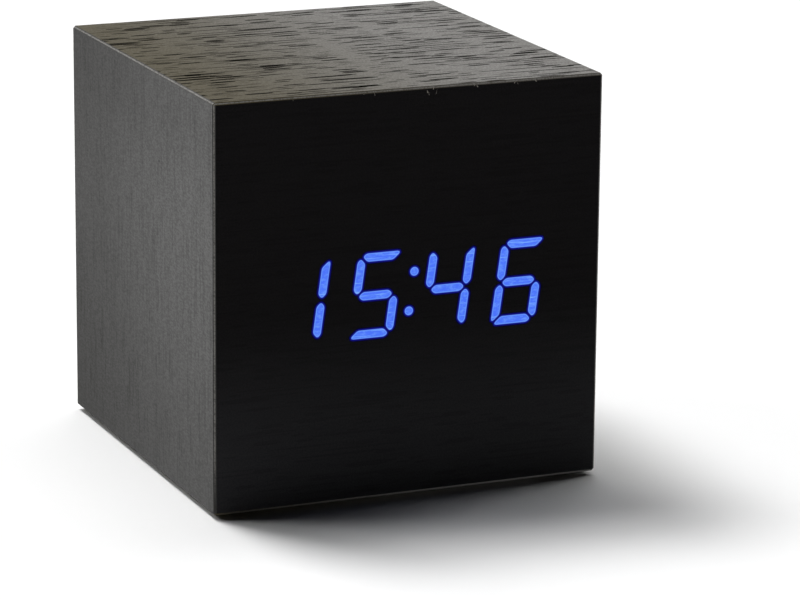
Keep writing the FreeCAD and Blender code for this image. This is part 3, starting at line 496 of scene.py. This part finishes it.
def spun(maker, profile, centre, along, outward, steps):
    """Spins points of (radius, distance along the axis), given in millimetres, round an axis."""
    spots = [
        maker.verts.new(centre + outward * radius * MM + along * distance * MM)
        for radius, distance in profile]
    lines = [maker.edges.new(pair) for pair in zip(spots, spots[1:])]
    bmesh.ops.spin(
        maker, geom=spots + lines, cent=centre, axis=along, dvec=(0, 0, 0), angle=2 * pi, steps=steps,
        use_merge=True, use_duplicate=False)


def edges_at(verts):
    """The edges that meet at some points of a mesh."""
    return list({edge for vert in verts for edge in vert.link_edges})


def ring_through(maker, spots):
    """A closed ring of new edges through some places."""
    verts = [maker.verts.new(spot) for spot in spots]
    return [maker.edges.new(pair) for pair in zip(verts, verts[1:] + verts[:1])]


def rounded(maker, parts, reach, segments, affect="EDGES"):
    """Rounds some edges or corners off."""
    bmesh.ops.bevel(
        maker, geom=parts, offset=reach, segments=segments, profile=0.5, affect=affect, material=-1)


def closed_off(maker, edges, move, spread=1.0):
    """Draws a ring of edges out by a move, spreads it across Z and closes it with a face."""
    drawn = bmesh.ops.extrude_edge_only(maker, edges=edges)["geom"]
    verts = [item for item in drawn if isinstance(item, bmesh.types.BMVert)]
    ring = [item for item in drawn if isinstance(item, bmesh.types.BMEdge)]
    bmesh.ops.translate(maker, vec=move, verts=verts)
    bmesh.ops.scale(maker, vec=(spread, spread, 1), verts=verts)
    bmesh.ops.edgeloop_fill(maker, edges=ring)


def block(maker, low, high, rounding, segments=2):
    """A box between two corners in millimetres, with its edges rounded."""
    low = Vector(low) * MM
    high = Vector(high) * MM
    made = bmesh.ops.create_cube(
        maker, size=1.0,
        matrix=Matrix.Translation((low + high) / 2) @ Matrix.Diagonal((*(high - low), 1)))
    rounded(maker, edges_at(made["verts"]), rounding * MM, segments)


def placed(spot, *turns):
    """The matrix of a piece that is turned by each pair of degrees and axis and moved to a place."""
    place = Matrix.Translation(spot)
    for degrees, axis in turns:
        place @= Matrix.Rotation(radians(degrees), 4, axis)
    return place


def copies(pattern, places):
    """One mesh that repeats a pattern at each place."""
    mesh = bpy.data.meshes.new("pattern")
    pattern.to_mesh(mesh)
    pattern.free()
    maker = bmesh.new()
    for place in places:
        before = set(maker.verts)
        maker.from_mesh(mesh)
        fresh = [vert for vert in maker.verts if vert not in before]
        bmesh.ops.transform(maker, matrix=place, verts=fresh)
    bpy.data.meshes.remove(mesh)
    return maker


# Operators, one for each piece or group of like pieces

class FinishVeneer(bpy.types.Operator):
    """Stains and varnishes the three veneer sheets, and adds the loose fibres at the front edge"""
    bl_idname = "clock.finish_veneer"
    bl_label = "Veneer"

    def execute(self, context):
        look = context.scene.clock_veneer
        dress(stained_veneer(look), "wrapped_veneer", "front_veneer", "back_veneer")
        fibre = mottled("raised_fibre", (0.30, 0.28, 0.24), 0.7, 0.2, 0.01, 0.35)
        maker = bmesh.new()
        # Place along the edge, drop below the edge, length, width and lean of each splinter
        splinters = (
            (2.7, 0.82, 0.45, 0.20, -14), (2.95, 1.15, 0.6, 0.08, -12), (3.75, 0.35, 0.4, 0.16, 5),
            (4.3, 0.95, 0.8, 0.07, 16), (11.45, 0.56, 0.36, 0.22, -28), (11.0, 0.42, 0.3, 0.10, 60),
            (18.1, 0.45, 0.3, 0.18, 25), (18.6, 0.62, 0.4, 0.06, -40), (21.8, 0.4, 0.42, 0.20, -48),
            (-6.5, 0.55, 0.6, 0.09, -14), (-8.3, 0.42, 0.3, 0.08, 60), (-20.5, 0.5, 0.3, 0.08, -8))
        for across, drop, length, width, lean in splinters:
            place = Vector((across * MM, FRONT_FACE - 0.012 * MM, CASE_TOP - drop * MM))
            bmesh.ops.create_cone(
                maker, cap_ends=True, segments=6, radius1=width / 2 * MM, radius2=width / 8 * MM,
                depth=length * MM,
                matrix=placed(place, (lean, "Y")) @ Matrix.Diagonal((1, 0.4, 1, 1)))
        new_piece("raised_fibres", maker, [fibre], "case")
        return {"FINISHED"}


class FinishBoards(bpy.types.Operator):
    """Gives the six boards of the case their bare pressed fibre"""
    bl_idname = "clock.finish_boards"
    bl_label = "Boards"

    def execute(self, context):
        dress(
            pressed_fibre(), "top_board", "left_board", "right_board", "bottom_board", "front_board",
            "back_board")
        return {"FINISHED"}


def bar_outlines(look):
    """The seven bars of a figure as corners of (across, up) from the figure's middle."""
    side = look.figure_width / 2
    top = look.figure_height / 2
    stroke = look.stroke
    half = stroke / 2
    mitre = look.gap * 0.5 ** 0.5
    cut = 0.38 * stroke
    inner = side - stroke
    under = top - stroke
    bars = {
        "a": [(2 * cut + mitre - side, top), (side - mitre, top), (inner - mitre, under),
              (mitre - inner, under), (cut + mitre - side, top - cut)],
        "b": [(side, top - mitre), (inner, under - mitre), (inner, half + mitre), (side - half, mitre),
              (side, half + mitre)],
        "f": [(-side, top - 2 * cut - mitre), (cut - side, top - cut - mitre), (-inner, under - mitre),
              (-inner, half + mitre), (half - side, mitre), (-side, half + mitre)],
        "g": [(half + mitre - side, 0), (mitre - inner, half), (inner - mitre, half),
              (side - half - mitre, 0), (inner - mitre, -half), (mitre - inner, -half)],
    }
    for bar, opposite in (("d", "a"), ("e", "b"), ("c", "f")):
        bars[bar] = [(-across, -up) for across, up in bars[opposite]]
    lean = tan(look.slant)
    for bar, corners in bars.items():
        bars[bar] = [Vector((across + up * lean, up)) for across, up in corners]
    return bars


def widened(corners, reach):
    """An outline pushed outwards, with its sharp corners cut short."""
    before = corners[-1:] + corners[:-1]
    after = corners[1:] + corners[:1]
    turning = sum(here.x * there.y - there.x * here.y for here, there in zip(corners, after))
    side = 1 if turning > 0 else -1
    pushed = []
    for last, here, there in zip(before, corners, after):
        first_normal = Vector((here.y - last.y, last.x - here.x)).normalized() * side
        next_normal = Vector((there.y - here.y, here.x - there.x)).normalized() * side
        middle = (first_normal + next_normal).normalized()
        pushed.append(here + middle * min(reach / max(middle.dot(first_normal), 0.1), 1.5 * reach))
    return pushed


def is_sharp(vert):
    """Whether the two edges at a point of an outline meet at less than seventy degrees."""
    first, second = [edge.other_vert(vert).co - vert.co for edge in vert.link_edges]
    return first.angle(second) < radians(70)


def add_glow(maker, glow, face, outer, halo_depth):
    """Joins a lit face to its halo's outer edge, closes the back and marks each point's depth."""
    for vert in face.verts:
        vert[glow] = 0.5
    outer_verts = list({vert for edge in outer for vert in edge.verts})
    for vert in outer_verts:
        vert[glow] = 0.0
    bmesh.ops.bridge_loops(maker, edges=list(face.edges) + outer)
    bmesh.ops.inset_region(maker, faces=[face], thickness=0.22 * MM, use_even_offset=True)
    for vert in face.verts:
        vert[glow] = 1.0
    closed_off(maker, outer, (0, halo_depth, 0))


class LightDisplay(bpy.types.Operator):
    """Makes the lit figures and the colon that shine through the front veneer"""
    bl_idname = "clock.light_display"
    bl_label = "Lit figures"

    def execute(self, context):
        look = context.scene.clock_display
        maker = bmesh.new()
        glow = maker.verts.layers.float.new("glow")
        lit_depth = FRONT_FACE - 0.020 * MM
        halo_edge = FRONT_FACE - 0.006 * MM
        lit_body = 0.03 * MM
        dot_radius = 0.72 * MM
        bars = bar_outlines(look)
        figures = f"{look.hours:02d}{look.minutes:02d}"
        for number, figure in enumerate(figures):
            middle = DISPLAY_MIDDLE.x + (number - 1.5) * look.pitch
            for bar in LIT_BARS[int(figure)]:
                earlier = set(maker.faces)
                front = [
                    maker.verts.new((middle + spot.x, lit_depth, DISPLAY_MIDDLE.z + spot.y))
                    for spot in bars[bar]]
                maker.faces.new(front)
                # The sharp ends are trimmed more than the blunt corners
                for sharp, offset in ((True, 2.4 * look.corner), (False, look.corner)):
                    ends = [vert for vert in front if vert.is_valid and is_sharp(vert) == sharp]
                    if ends:
                        rounded(maker, ends, offset, 3, "VERTICES")
                face = next(item for item in maker.faces if item not in earlier)
                outline = [Vector((vert.co.x, vert.co.z)) for vert in face.verts]
                outer = ring_through(
                    maker, [(spot.x, halo_edge, spot.y) for spot in widened(outline, look.halo_width)])
                add_glow(maker, glow, face, outer, lit_body)
        for up in (3.35 * MM, -3.2 * MM):
            across = DISPLAY_MIDDLE.x + up * tan(look.slant)
            lit = bmesh.ops.create_circle(
                maker, cap_ends=True, segments=20, radius=dot_radius,
                matrix=placed((across, lit_depth, DISPLAY_MIDDLE.z + up), (90, "X")))
            ring = bmesh.ops.create_circle(
                maker, cap_ends=False, segments=20, radius=dot_radius + look.halo_width,
                matrix=placed((across, halo_edge, DISPLAY_MIDDLE.z + up), (90, "X")))
            face = lit["verts"][0].link_faces[0]
            add_glow(maker, glow, face, edges_at(ring["verts"]), lit_body)
        new_piece("lit_figures", maker, [glowing_bar(look)], "case")
        return {"FINISHED"}


class MakeButtons(bpy.types.Operator):
    """Makes the three dished button caps, with a dot on one and an arrow on each of the others"""
    bl_idname = "clock.make_buttons"
    bl_label = "Buttons"

    def execute(self, context):
        look = context.scene.clock_fittings
        dish = look.dish / MM
        rim = look.rim / MM
        finish = mottled("button_moulding", (0.030, 0.030, 0.032), 0.30, 0.12, 0.004, 0.25)
        paint = mottled("mark_paint", (0.42, 0.42, 0.41), 0.5, 0.15, 0.004, 0.2)
        radius = 3.0
        flange = 0.8
        # A round dot, and triangles that point up and down
        for name, sides, turn in (("set_button", 16, 0), ("up_button", 3, 180), ("down_button", 3, 0)):
            low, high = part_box(name)
            middle = (low + high) / 2
            top = high.y / MM
            base = low.y / MM
            maker = bmesh.new()
            block(
                maker, (low.x / MM, base, low.z / MM), (high.x / MM, base + flange, high.z / MM), 0.12)
            axis = Vector((middle.x, 0, middle.z))
            profile = (
                (0, base + 0.3), (radius, base + 0.3), (radius, top - rim * 1.4),
                (radius - rim * 0.15, top - rim * 0.75), (radius - rim * 0.5, top - rim * 0.25),
                (radius - rim, top), (radius - rim * 1.7, top - dish * 0.12),
                (radius * 0.6, top - dish * 0.62), (radius * 0.35, top - dish * 0.88), (0, top - dish))
            spun(maker, profile, axis, REAR, RIGHT, 40)
            plain = set(maker.faces)
            mark = bmesh.ops.create_cone(
                maker, cap_ends=True, segments=sides, radius1=0.80 * MM, radius2=0.70 * MM, depth=0.3 * MM,
                matrix=placed((middle.x, high.y - look.dish, middle.z), (-90, "X"), (-turn, "Z")))
            rounded(maker, edges_at(mark["verts"]), 0.05 * MM, 2)
            for face in maker.faces:
                face.material_index = 0 if face in plain else 1
            new_piece(name + "_cap", maker, [finish, paint], name, [name])
        switch = mottled("switch_moulding", (0.022, 0.022, 0.022), 0.5, 0.2, 0.006, 0.3)
        dress(switch, "set_plunger", "up_plunger", "down_plunger", "switch_bodies")
        return {"FINISHED"}


def cross_screw(look, radius, head, shank, length):
    """A screw with its head up and its seat at nought: domed head, cross recess and plain shank."""
    maker = bmesh.new()
    flat = radius * 0.66
    profile = (
        (0, -length), (shank * 0.5, -length), (shank, -length + 0.4), (shank, 0), (radius, 0),
        (radius, head * 0.30), (radius * 0.96, head * 0.58), (radius * 0.86, head * 0.84), (flat, head))
    spun(maker, profile, Vector((0, 0, 0)), UP, RIGHT, 28)
    bmesh.ops.remove_doubles(maker, verts=maker.verts, dist=0.0005 * MM)
    rim = [edge for edge in maker.edges if edge.is_boundary]
    reach = radius * look.cross_reach
    arm = radius * 0.13
    corners = []
    for turn in range(4):
        spin = Matrix.Rotation(radians(90 * turn), 3, "Z")
        for spot in ((reach, -arm, head), (reach, arm, head), (arm, arm, head)):
            corners.append(spin @ Vector(spot) * MM)
    cross = ring_through(maker, corners)
    bmesh.ops.triangle_fill(maker, use_beauty=True, edges=rim + cross)
    closed_off(maker, cross, (0, 0, -head * 0.7 * MM), 0.55)
    return maker


class MakeScrews(bpy.types.Operator):
    """Makes the cross-recess screws of the rear panel and of the battery tray"""
    bl_idname = "clock.make_screws"
    bl_label = "Screws"

    def execute(self, context):
        look = context.scene.clock_fittings
        steel = brushed("blackened_steel", (0.20, 0.20, 0.205), 0.34)
        head_radius = 1.4
        head_height = 0.8
        shank_radius = 0.8
        inset = Vector((1, 1, 1)) * head_radius * MM
        low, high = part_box("panel_screws")
        first = low + inset
        last = high - inset
        spots = ((first.x, first.z), (first.x, last.z), (last.x, first.z), (last.x, last.z))
        places = [
            placed((across, high.y - head_height * MM, up), (-90, "X"), (23 + 37 * number, "Z"))
            for number, (across, up) in enumerate(spots)]
        length = (high.y - low.y) / MM - head_height
        screws = copies(cross_screw(look, head_radius, head_height, shank_radius, length), places)
        new_piece("panel_screw_set", screws, [steel], "case", ["panel_screws"])
        low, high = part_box("tray_screws")
        places = [
            placed((spot.x, spot.y, low.z + head_height * MM), (180, "X"), (51 - 64 * number, "Z"))
            for number, spot in enumerate((low + inset, high - inset))]
        length = (high.z - low.z) / MM - head_height
        screws = copies(cross_screw(look, head_radius, head_height, shank_radius, length), places)
        new_piece("tray_screw_set", screws, [steel], "case", ["tray_screws"])
        dress(brushed("zinc_plate", (0.62, 0.62, 0.60), 0.3), "main_board_screws")
        return {"FINISHED"}


class MakeSpeaker(bpy.types.Operator):
    """Makes the formed speaker cone behind the grille, and finishes the speaker and the microphone"""
    bl_idname = "clock.make_speaker"
    bl_label = "Speaker"

    def execute(self, context):
        low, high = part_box("speaker_diaphragm")
        middle = (low + high) / 2
        reach = (high.x - low.x) / 2 / MM
        height = (high.y - low.y) / MM
        roll_outside, roll_inside, roll_foot = 0.95, 0.84, 0.24
        dome_edge, dome_foot = 0.46, 0.16
        # Shares of the reach, and millimetres up from the back: the half-round roll of the surround first
        shape = [(1, 0.1), (1, 0.22), (roll_outside, roll_foot)]
        for step in range(7):
            share = step / 6
            bulge = (1 - (2 * share - 1) ** 2) ** 0.5
            shape.append((roll_outside - (roll_outside - roll_inside) * share, roll_foot + 0.24 * bulge))
        # The corrugated cone and the dome over the coil, and the flat back
        shape += [(0.78, 0.20), (0.70, 0.24), (0.62, 0.16), (0.55, 0.20), (0.48, 0.12)]
        for step in range(6):
            share = step / 5
            shape.append((dome_edge * (1 - share), dome_foot + (height - dome_foot) * share ** 0.5))
        shape += [(0, 0.05), (0.9, 0.05), (1, 0.1)]
        maker = bmesh.new()
        profile = [(reach * out, up) for out, up in shape]
        spun(maker, profile, Vector((middle.x, low.y, middle.z)), REAR, RIGHT, 48)
        film = mottled("speaker_film", (0.035, 0.036, 0.04), 0.26, 0.3, 0.01, 0.3)
        new_piece("speaker_cone", maker, [film], "case", ["speaker_diaphragm"])
        zinc = brushed("zinc_magnet_cup", (0.42, 0.42, 0.43), 0.38, (1, 0.2, 1))
        dress(zinc, "speaker_basket", "speaker_magnet")
        red = mottled("red_insulation", (0.42, 0.02, 0.015), 0.3, 0.4, 0.01)
        dress(red, "speaker_leads", "red_battery_wire")
        dress(mottled("black_insulation", (0.018, 0.018, 0.018), 0.3, 0.4, 0.01), "black_battery_wire")
        dress(mottled("capsule_felt", (0.035, 0.035, 0.037), 0.9, 0.2, 0.02, 0.4), "microphone")
        dress(brushed("tinned_can", (0.68, 0.68, 0.67), 0.24, (1, 0.1, 1)), "microphone_pins")
        return {"FINISHED"}


class MakeSocket(bpy.types.Operator):
    """Makes the gilt contacts on the power socket's tongue, and finishes the socket and the rear panel"""
    bl_idname = "clock.make_socket"
    bl_label = "Power socket and rear panel"

    def execute(self, context):
        low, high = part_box("power_socket_tongue")
        middle = (low + high) / 2
        maker = bmesh.new()
        pitch = 0.65
        half_width = 0.15
        for number in range(5):
            across = middle.x / MM + (number - 2) * pitch
            block(
                maker, (across - half_width, high.y / MM - 2.6, low.z / MM - 0.05),
                (across + half_width, high.y / MM - 0.35, low.z / MM + 0.05), 0.02)
        gilt = brushed("gilt_contact", (0.83, 0.62, 0.28), 0.22, (1, 0.1, 1))
        new_piece("socket_contacts", maker, [gilt], "case")
        dress(brushed("nickel_shell", (0.66, 0.65, 0.63), 0.26, (1, 0.08, 1)), "power_socket_shell")
        smooth = mottled("header_moulding", (0.024, 0.024, 0.025), 0.5, 0.25, 0.01)
        dress(smooth, "power_socket_tongue", "ribbon_headers")
        textured = mottled("textured_moulding", (0.020, 0.020, 0.021), 0.52, 0.16, 0.022, 0.3)
        dress(textured, "rear_panel", "battery_tray", "battery_door")
        return {"FINISHED"}


class MakeFeet(bpy.types.Operator):
    """Makes the four rubber feet, with a rounded rim and a ring groove below"""
    bl_idname = "clock.make_feet"
    bl_label = "Rubber feet"

    def execute(self, context):
        low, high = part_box("rubber_feet")
        height = (high.z - low.z) / MM
        radius = 3.5
        shares = (
            (0, 1), (1, 1), (1, 0.6), (0.985, 0.32), (0.94, 0.12), (0.87, 0), (0.62, 0), (0.56, 0.3),
            (0.48, 0.3), (0.42, 0), (0, 0))
        profile = [(radius * out, height * up) for out, up in shares]
        maker = bmesh.new()
        for across in (low.x + radius * MM, high.x - radius * MM):
            for back in (low.y + radius * MM, high.y - radius * MM):
                spun(maker, profile, Vector((across, back, low.z)), UP, RIGHT, 36)
        rubber = mottled("matt_rubber", (0.022, 0.022, 0.022), 0.85, 0.3, 0.02, 0.3, gloss=0.3)
        new_piece("rubber_foot_set", maker, [rubber], "case", ["rubber_feet"])
        return {"FINISHED"}


class MakeBatteryBay(bpy.types.Operator):
    """Makes the three dry cells and the door's grip, and finishes the contacts"""
    bl_idname = "clock.make_battery_bay"
    bl_label = "Battery bay"

    def execute(self, context):
        look = context.scene.clock_fittings
        sleeve = cell_sleeve()
        cap = brushed("cell_end", (0.60, 0.60, 0.58), 0.28)
        nub_length = 0.9
        nub_radius = 1.9
        for number, forward in ((1, 1), (2, -1), (3, 1)):
            name = f"battery_cell_{number}"
            low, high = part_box(name)
            middle = (low + high) / 2
            radius = (high.z - low.z) / 2 / MM
            length = (high.x - low.x) / MM
            body = length - nub_length
            nub = nub_radius / radius
            shape = (
                (0, 0.12), (0.74, 0.12), (0.78, 0), (0.92, 0), (0.985, 0.16), (1, 0.5), (1, body - 0.6),
                (0.985, body - 0.22), (0.93, body - 0.02), (0.84, body), (0.80, body - 0.18),
                (0.42, body - 0.12), (nub, body + 0.05), (nub, length - 0.16),
                (nub - 0.15 / radius, length), (0, length))
            profile = [(radius * out, along) for out, along in shape]
            maker = bmesh.new()
            start = Vector((low.x if forward > 0 else high.x, middle.y, middle.z))
            spun(maker, profile, start, RIGHT * forward, UP, 40)
            for face in maker.faces:
                reach = (face.calc_center_median() - start).x * forward / MM
                face.material_index = 0 if 0.2 < reach < body - 0.2 else 1
            new_piece(f"dry_cell_{number}", maker, [sleeve, cap], "case", [name])
        low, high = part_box("battery_door")
        grip_middle = 1.0
        half_reach = 6.0
        half_ridge = 0.28
        end_margin = 3.2
        pitch = 1.1
        maker = bmesh.new()
        for number in range(look.ridges):
            across = high.x / MM - end_margin - number * pitch
            block(
                maker, (across - half_ridge, grip_middle - half_reach, low.z / MM - 0.22),
                (across + half_ridge, grip_middle + half_reach, low.z / MM + 0.2), 0.14, 3)
        grip = mottled("grip_moulding", (0.020, 0.020, 0.021), 0.45, 0.16, 0.01, 0.3)
        new_piece("door_grip", maker, [grip], "battery_door")
        nickel = brushed("nickel_spring", (0.70, 0.68, 0.64), 0.24, (1, 1, 0.2))
        dress(nickel, "contact_plates", "contact_springs")
        return {"FINISHED"}


class FinishElectronics(bpy.types.Operator):
    """Finishes the circuit boards, their parts and the display block"""
    bl_idname = "clock.finish_electronics"
    bl_label = "Electronics"

    def execute(self, context):
        dress(circuit_laminate(), "main_board", "display_board")
        dress(brushed("tinned_lead", (0.70, 0.70, 0.69), 0.28), "chip_leads", "quartz_crystal")
        dress(ribbon_finish(), "ribbon_cable")
        # Finish, colour, roughness, grain and its height in millimetres, contrast, and the node that has it
        mouldings = (
            ("chip_resin", (0.020, 0.020, 0.021), 0.55, 0.14, 0.01, 0.35, "chip_bodies"),
            ("blob_resin", (0.012, 0.012, 0.013), 0.12, 0.9, 0.03, 0.4, "clock_controller"),
            ("capacitor_sleeve", (0.03, 0.045, 0.09), 0.3, 0.5, 0.01, 0.25, "capacitor"),
            ("ceramic_chip", (0.42, 0.33, 0.20), 0.5, 0.2, 0.01, 0.35, "small_chip_parts"),
            ("led_lens", (0.80, 0.76, 0.52), 0.25, 0.2, 0.01, 0.15, "led_chips"),
            ("display_moulding", (0.11, 0.11, 0.115), 0.55, 0.2, 0.02, 0.2, "digit_housing"))
        for name, colour, roughness, grain, height, contrast, node in mouldings:
            dress(mottled(name, colour, roughness, grain, height, contrast), node)
        # Finish, darker and lighter colour, strength of its light, and the node that has it
        guides = (
            ("milky_film", (0.62, 0.62, 0.64), (0.80, 0.80, 0.82), 0.0, "diffuser_film"),
            ("lit_resin", (0.07, 0.18, 0.9), (0.22, 0.42, 1.0), 1.0, "lit_segments"),
            ("dark_resin", (0.55, 0.56, 0.58), (0.72, 0.73, 0.75), 0.0, "unlit_segments"))
        for name, dark, light, shine, node in guides:
            dress(light_guide(name, rgba(dark), rgba(light), shine), node)
        return {"FINISHED"}


class SetStage(bpy.types.Operator):
    """Sets the pale floor, the soft light and the camera"""
    bl_idname = "clock.set_stage"
    bl_label = "Floor, light and camera"

    def execute(self, context):
        look = context.scene.clock_stage
        scene = context.scene
        scene.view_settings.view_transform = "Standard"
        scene.view_settings.look = "None"
        scene.view_settings.exposure = 0.0
        self.add_floor(look)
        self.add_world(scene)
        # Five lamps behind and beside the clock, whose soft shadows run into one another: degrees to the
        # left of straight behind, degrees up, and share of all the light on the floor
        lamps = (
            ("left_lamp", 60, 40, 0.107), ("low_lamp", 20, 55, 0.310), ("high_lamp", 20, 65, 0.340),
            ("right_lamp", -30, 70, 0.149), ("far_right_lamp", -75, 40, 0.094))
        for name, side, height, share in lamps:
            rise = sin(radians(height))
            level = cos(radians(height))
            toward = (-sin(radians(side)) * level, cos(radians(side)) * level, rise)
            self.add_lamp(name, toward, look.lamp_spread, look.lamp_strength * share / rise)
        self.add_camera(scene, look)
        return {"FINISHED"}

    def add_floor(self, look):
        """A large pale plane that the varnish doesn't mirror."""
        maker = bmesh.new()
        bmesh.ops.create_grid(maker, x_segments=8, y_segments=8, size=3.0)
        mesh = bpy.data.meshes.new("floor")
        maker.to_mesh(mesh)
        maker.free()
        paint = mottled("floor_paint", look.floor_colour, 0.9, 3, 0.01, 0.01, gloss=0.1)
        mesh.materials.append(paint)
        floor = in_scene("floor", mesh)
        floor.visible_glossy = False

    def add_world(self, scene):
        """White surroundings for the camera, and a room with bright walls for the reflections."""
        world = bpy.data.worlds.new("studio")
        world.use_nodes = True
        scene.world = world
        world.cycles_visibility.diffuse = False
        tree = world.node_tree
        background = tree.nodes["Background"]
        way = put(tree, "TexCoord")
        toward = put(tree, "SeparateXYZ", {0: way.outputs["Generated"]})
        behind = rescale(tree, toward.outputs["Y"], 0.05, 0.75)
        low_down = rescale(tree, toward.outputs["Z"], 0.25, 0.85, 1.0, 0.35)
        wall = product(tree, behind, low_down)
        left_wall = rescale(tree, toward.outputs["X"], -0.55, -0.95, 0.0, 0.7)
        bright = calc(tree, "MAXIMUM", wall, left_wall)
        room = total(tree, product(tree, bright, 0.97), 0.03)
        seen = put(tree, "LightPath")
        feed(background, {"Color": blend_values(tree, seen.outputs["Is Camera Ray"], room, 1.0)})

    def add_lamp(self, name, toward, spread, strength):
        """A far soft lamp in a direction seen from the clock, so the whole floor is lit alike."""
        data = bpy.data.lights.new(name, "SUN")
        data.angle = spread
        data.energy = strength
        lamp = in_scene(name, data)
        lamp.rotation_euler = Vector(toward).to_track_quat("Z", "Y").to_euler()

    def add_camera(self, scene, look):
        """The camera at the photographed angle."""
        data = bpy.data.cameras.new("photo_camera")
        data.sensor_fit = "HORIZONTAL"
        data.sensor_width = 36.0
        data.lens = look.lens
        data.clip_start = 0.05
        data.clip_end = 30.0
        camera = in_scene("photo_camera", data)
        right = Vector((0.919906, -0.39204, 0.008865))
        up = Vector((0.092171, 0.238139, 0.966848))
        back = Vector((-0.381154, -0.888591, 0.2552))
        place = Matrix((right, up, back)).transposed().to_4x4()
        place.translation = Vector((-0.251047, -0.615646, 0.200620))
        camera.matrix_world = place
        scene.camera = camera


OPERATORS = (
    FinishVeneer, FinishBoards, LightDisplay, MakeButtons, MakeScrews, MakeSpeaker, MakeSocket, MakeFeet,
    MakeBatteryBay, FinishElectronics, SetStage)
SETTINGS = (
    ("clock_veneer", VeneerLook), ("clock_display", DisplayLook), ("clock_fittings", FittingLook),
    ("clock_stage", StageLook))


class ClockPanel(bpy.types.Panel):
    """Lists the clock's settings and its pieces"""
    bl_idname = "VIEW3D_PT_cube_clock"
    bl_label = "Veneered cube clock"
    bl_space_type = "VIEW_3D"
    bl_region_type = "UI"
    bl_category = "Clock"

    def draw(self, context):
        for name, group in SETTINGS:
            box = self.layout.box()
            values = getattr(context.scene, name)
            for setting in group.__annotations__:
                box.prop(values, setting)
        for operator in OPERATORS:
            self.layout.operator(operator.bl_idname)


def register():
    for name, group in SETTINGS:
        bpy.utils.register_class(group)
        setattr(bpy.types.Scene, name, PointerProperty(type=group))
    for operator in OPERATORS:
        bpy.utils.register_class(operator)
    bpy.utils.register_class(ClockPanel)


def unregister():
    bpy.utils.unregister_class(ClockPanel)
    for operator in reversed(OPERATORS):
        bpy.utils.unregister_class(operator)
    for name, group in reversed(SETTINGS):
        delattr(bpy.types.Scene, name)
        bpy.utils.unregister_class(group)


def main():
    register()
    for operator in OPERATORS:
        step = operator.bl_idname.split(".")[1]
        getattr(bpy.ops.clock, step)()
    bare = [
        name for name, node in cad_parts.items()
        if node.material_slots[0].material.name.endswith("_cad")]
    if bare:
        raise RuntimeError(f"no finish on {bare}")


if __name__ == "__main__":
    main()
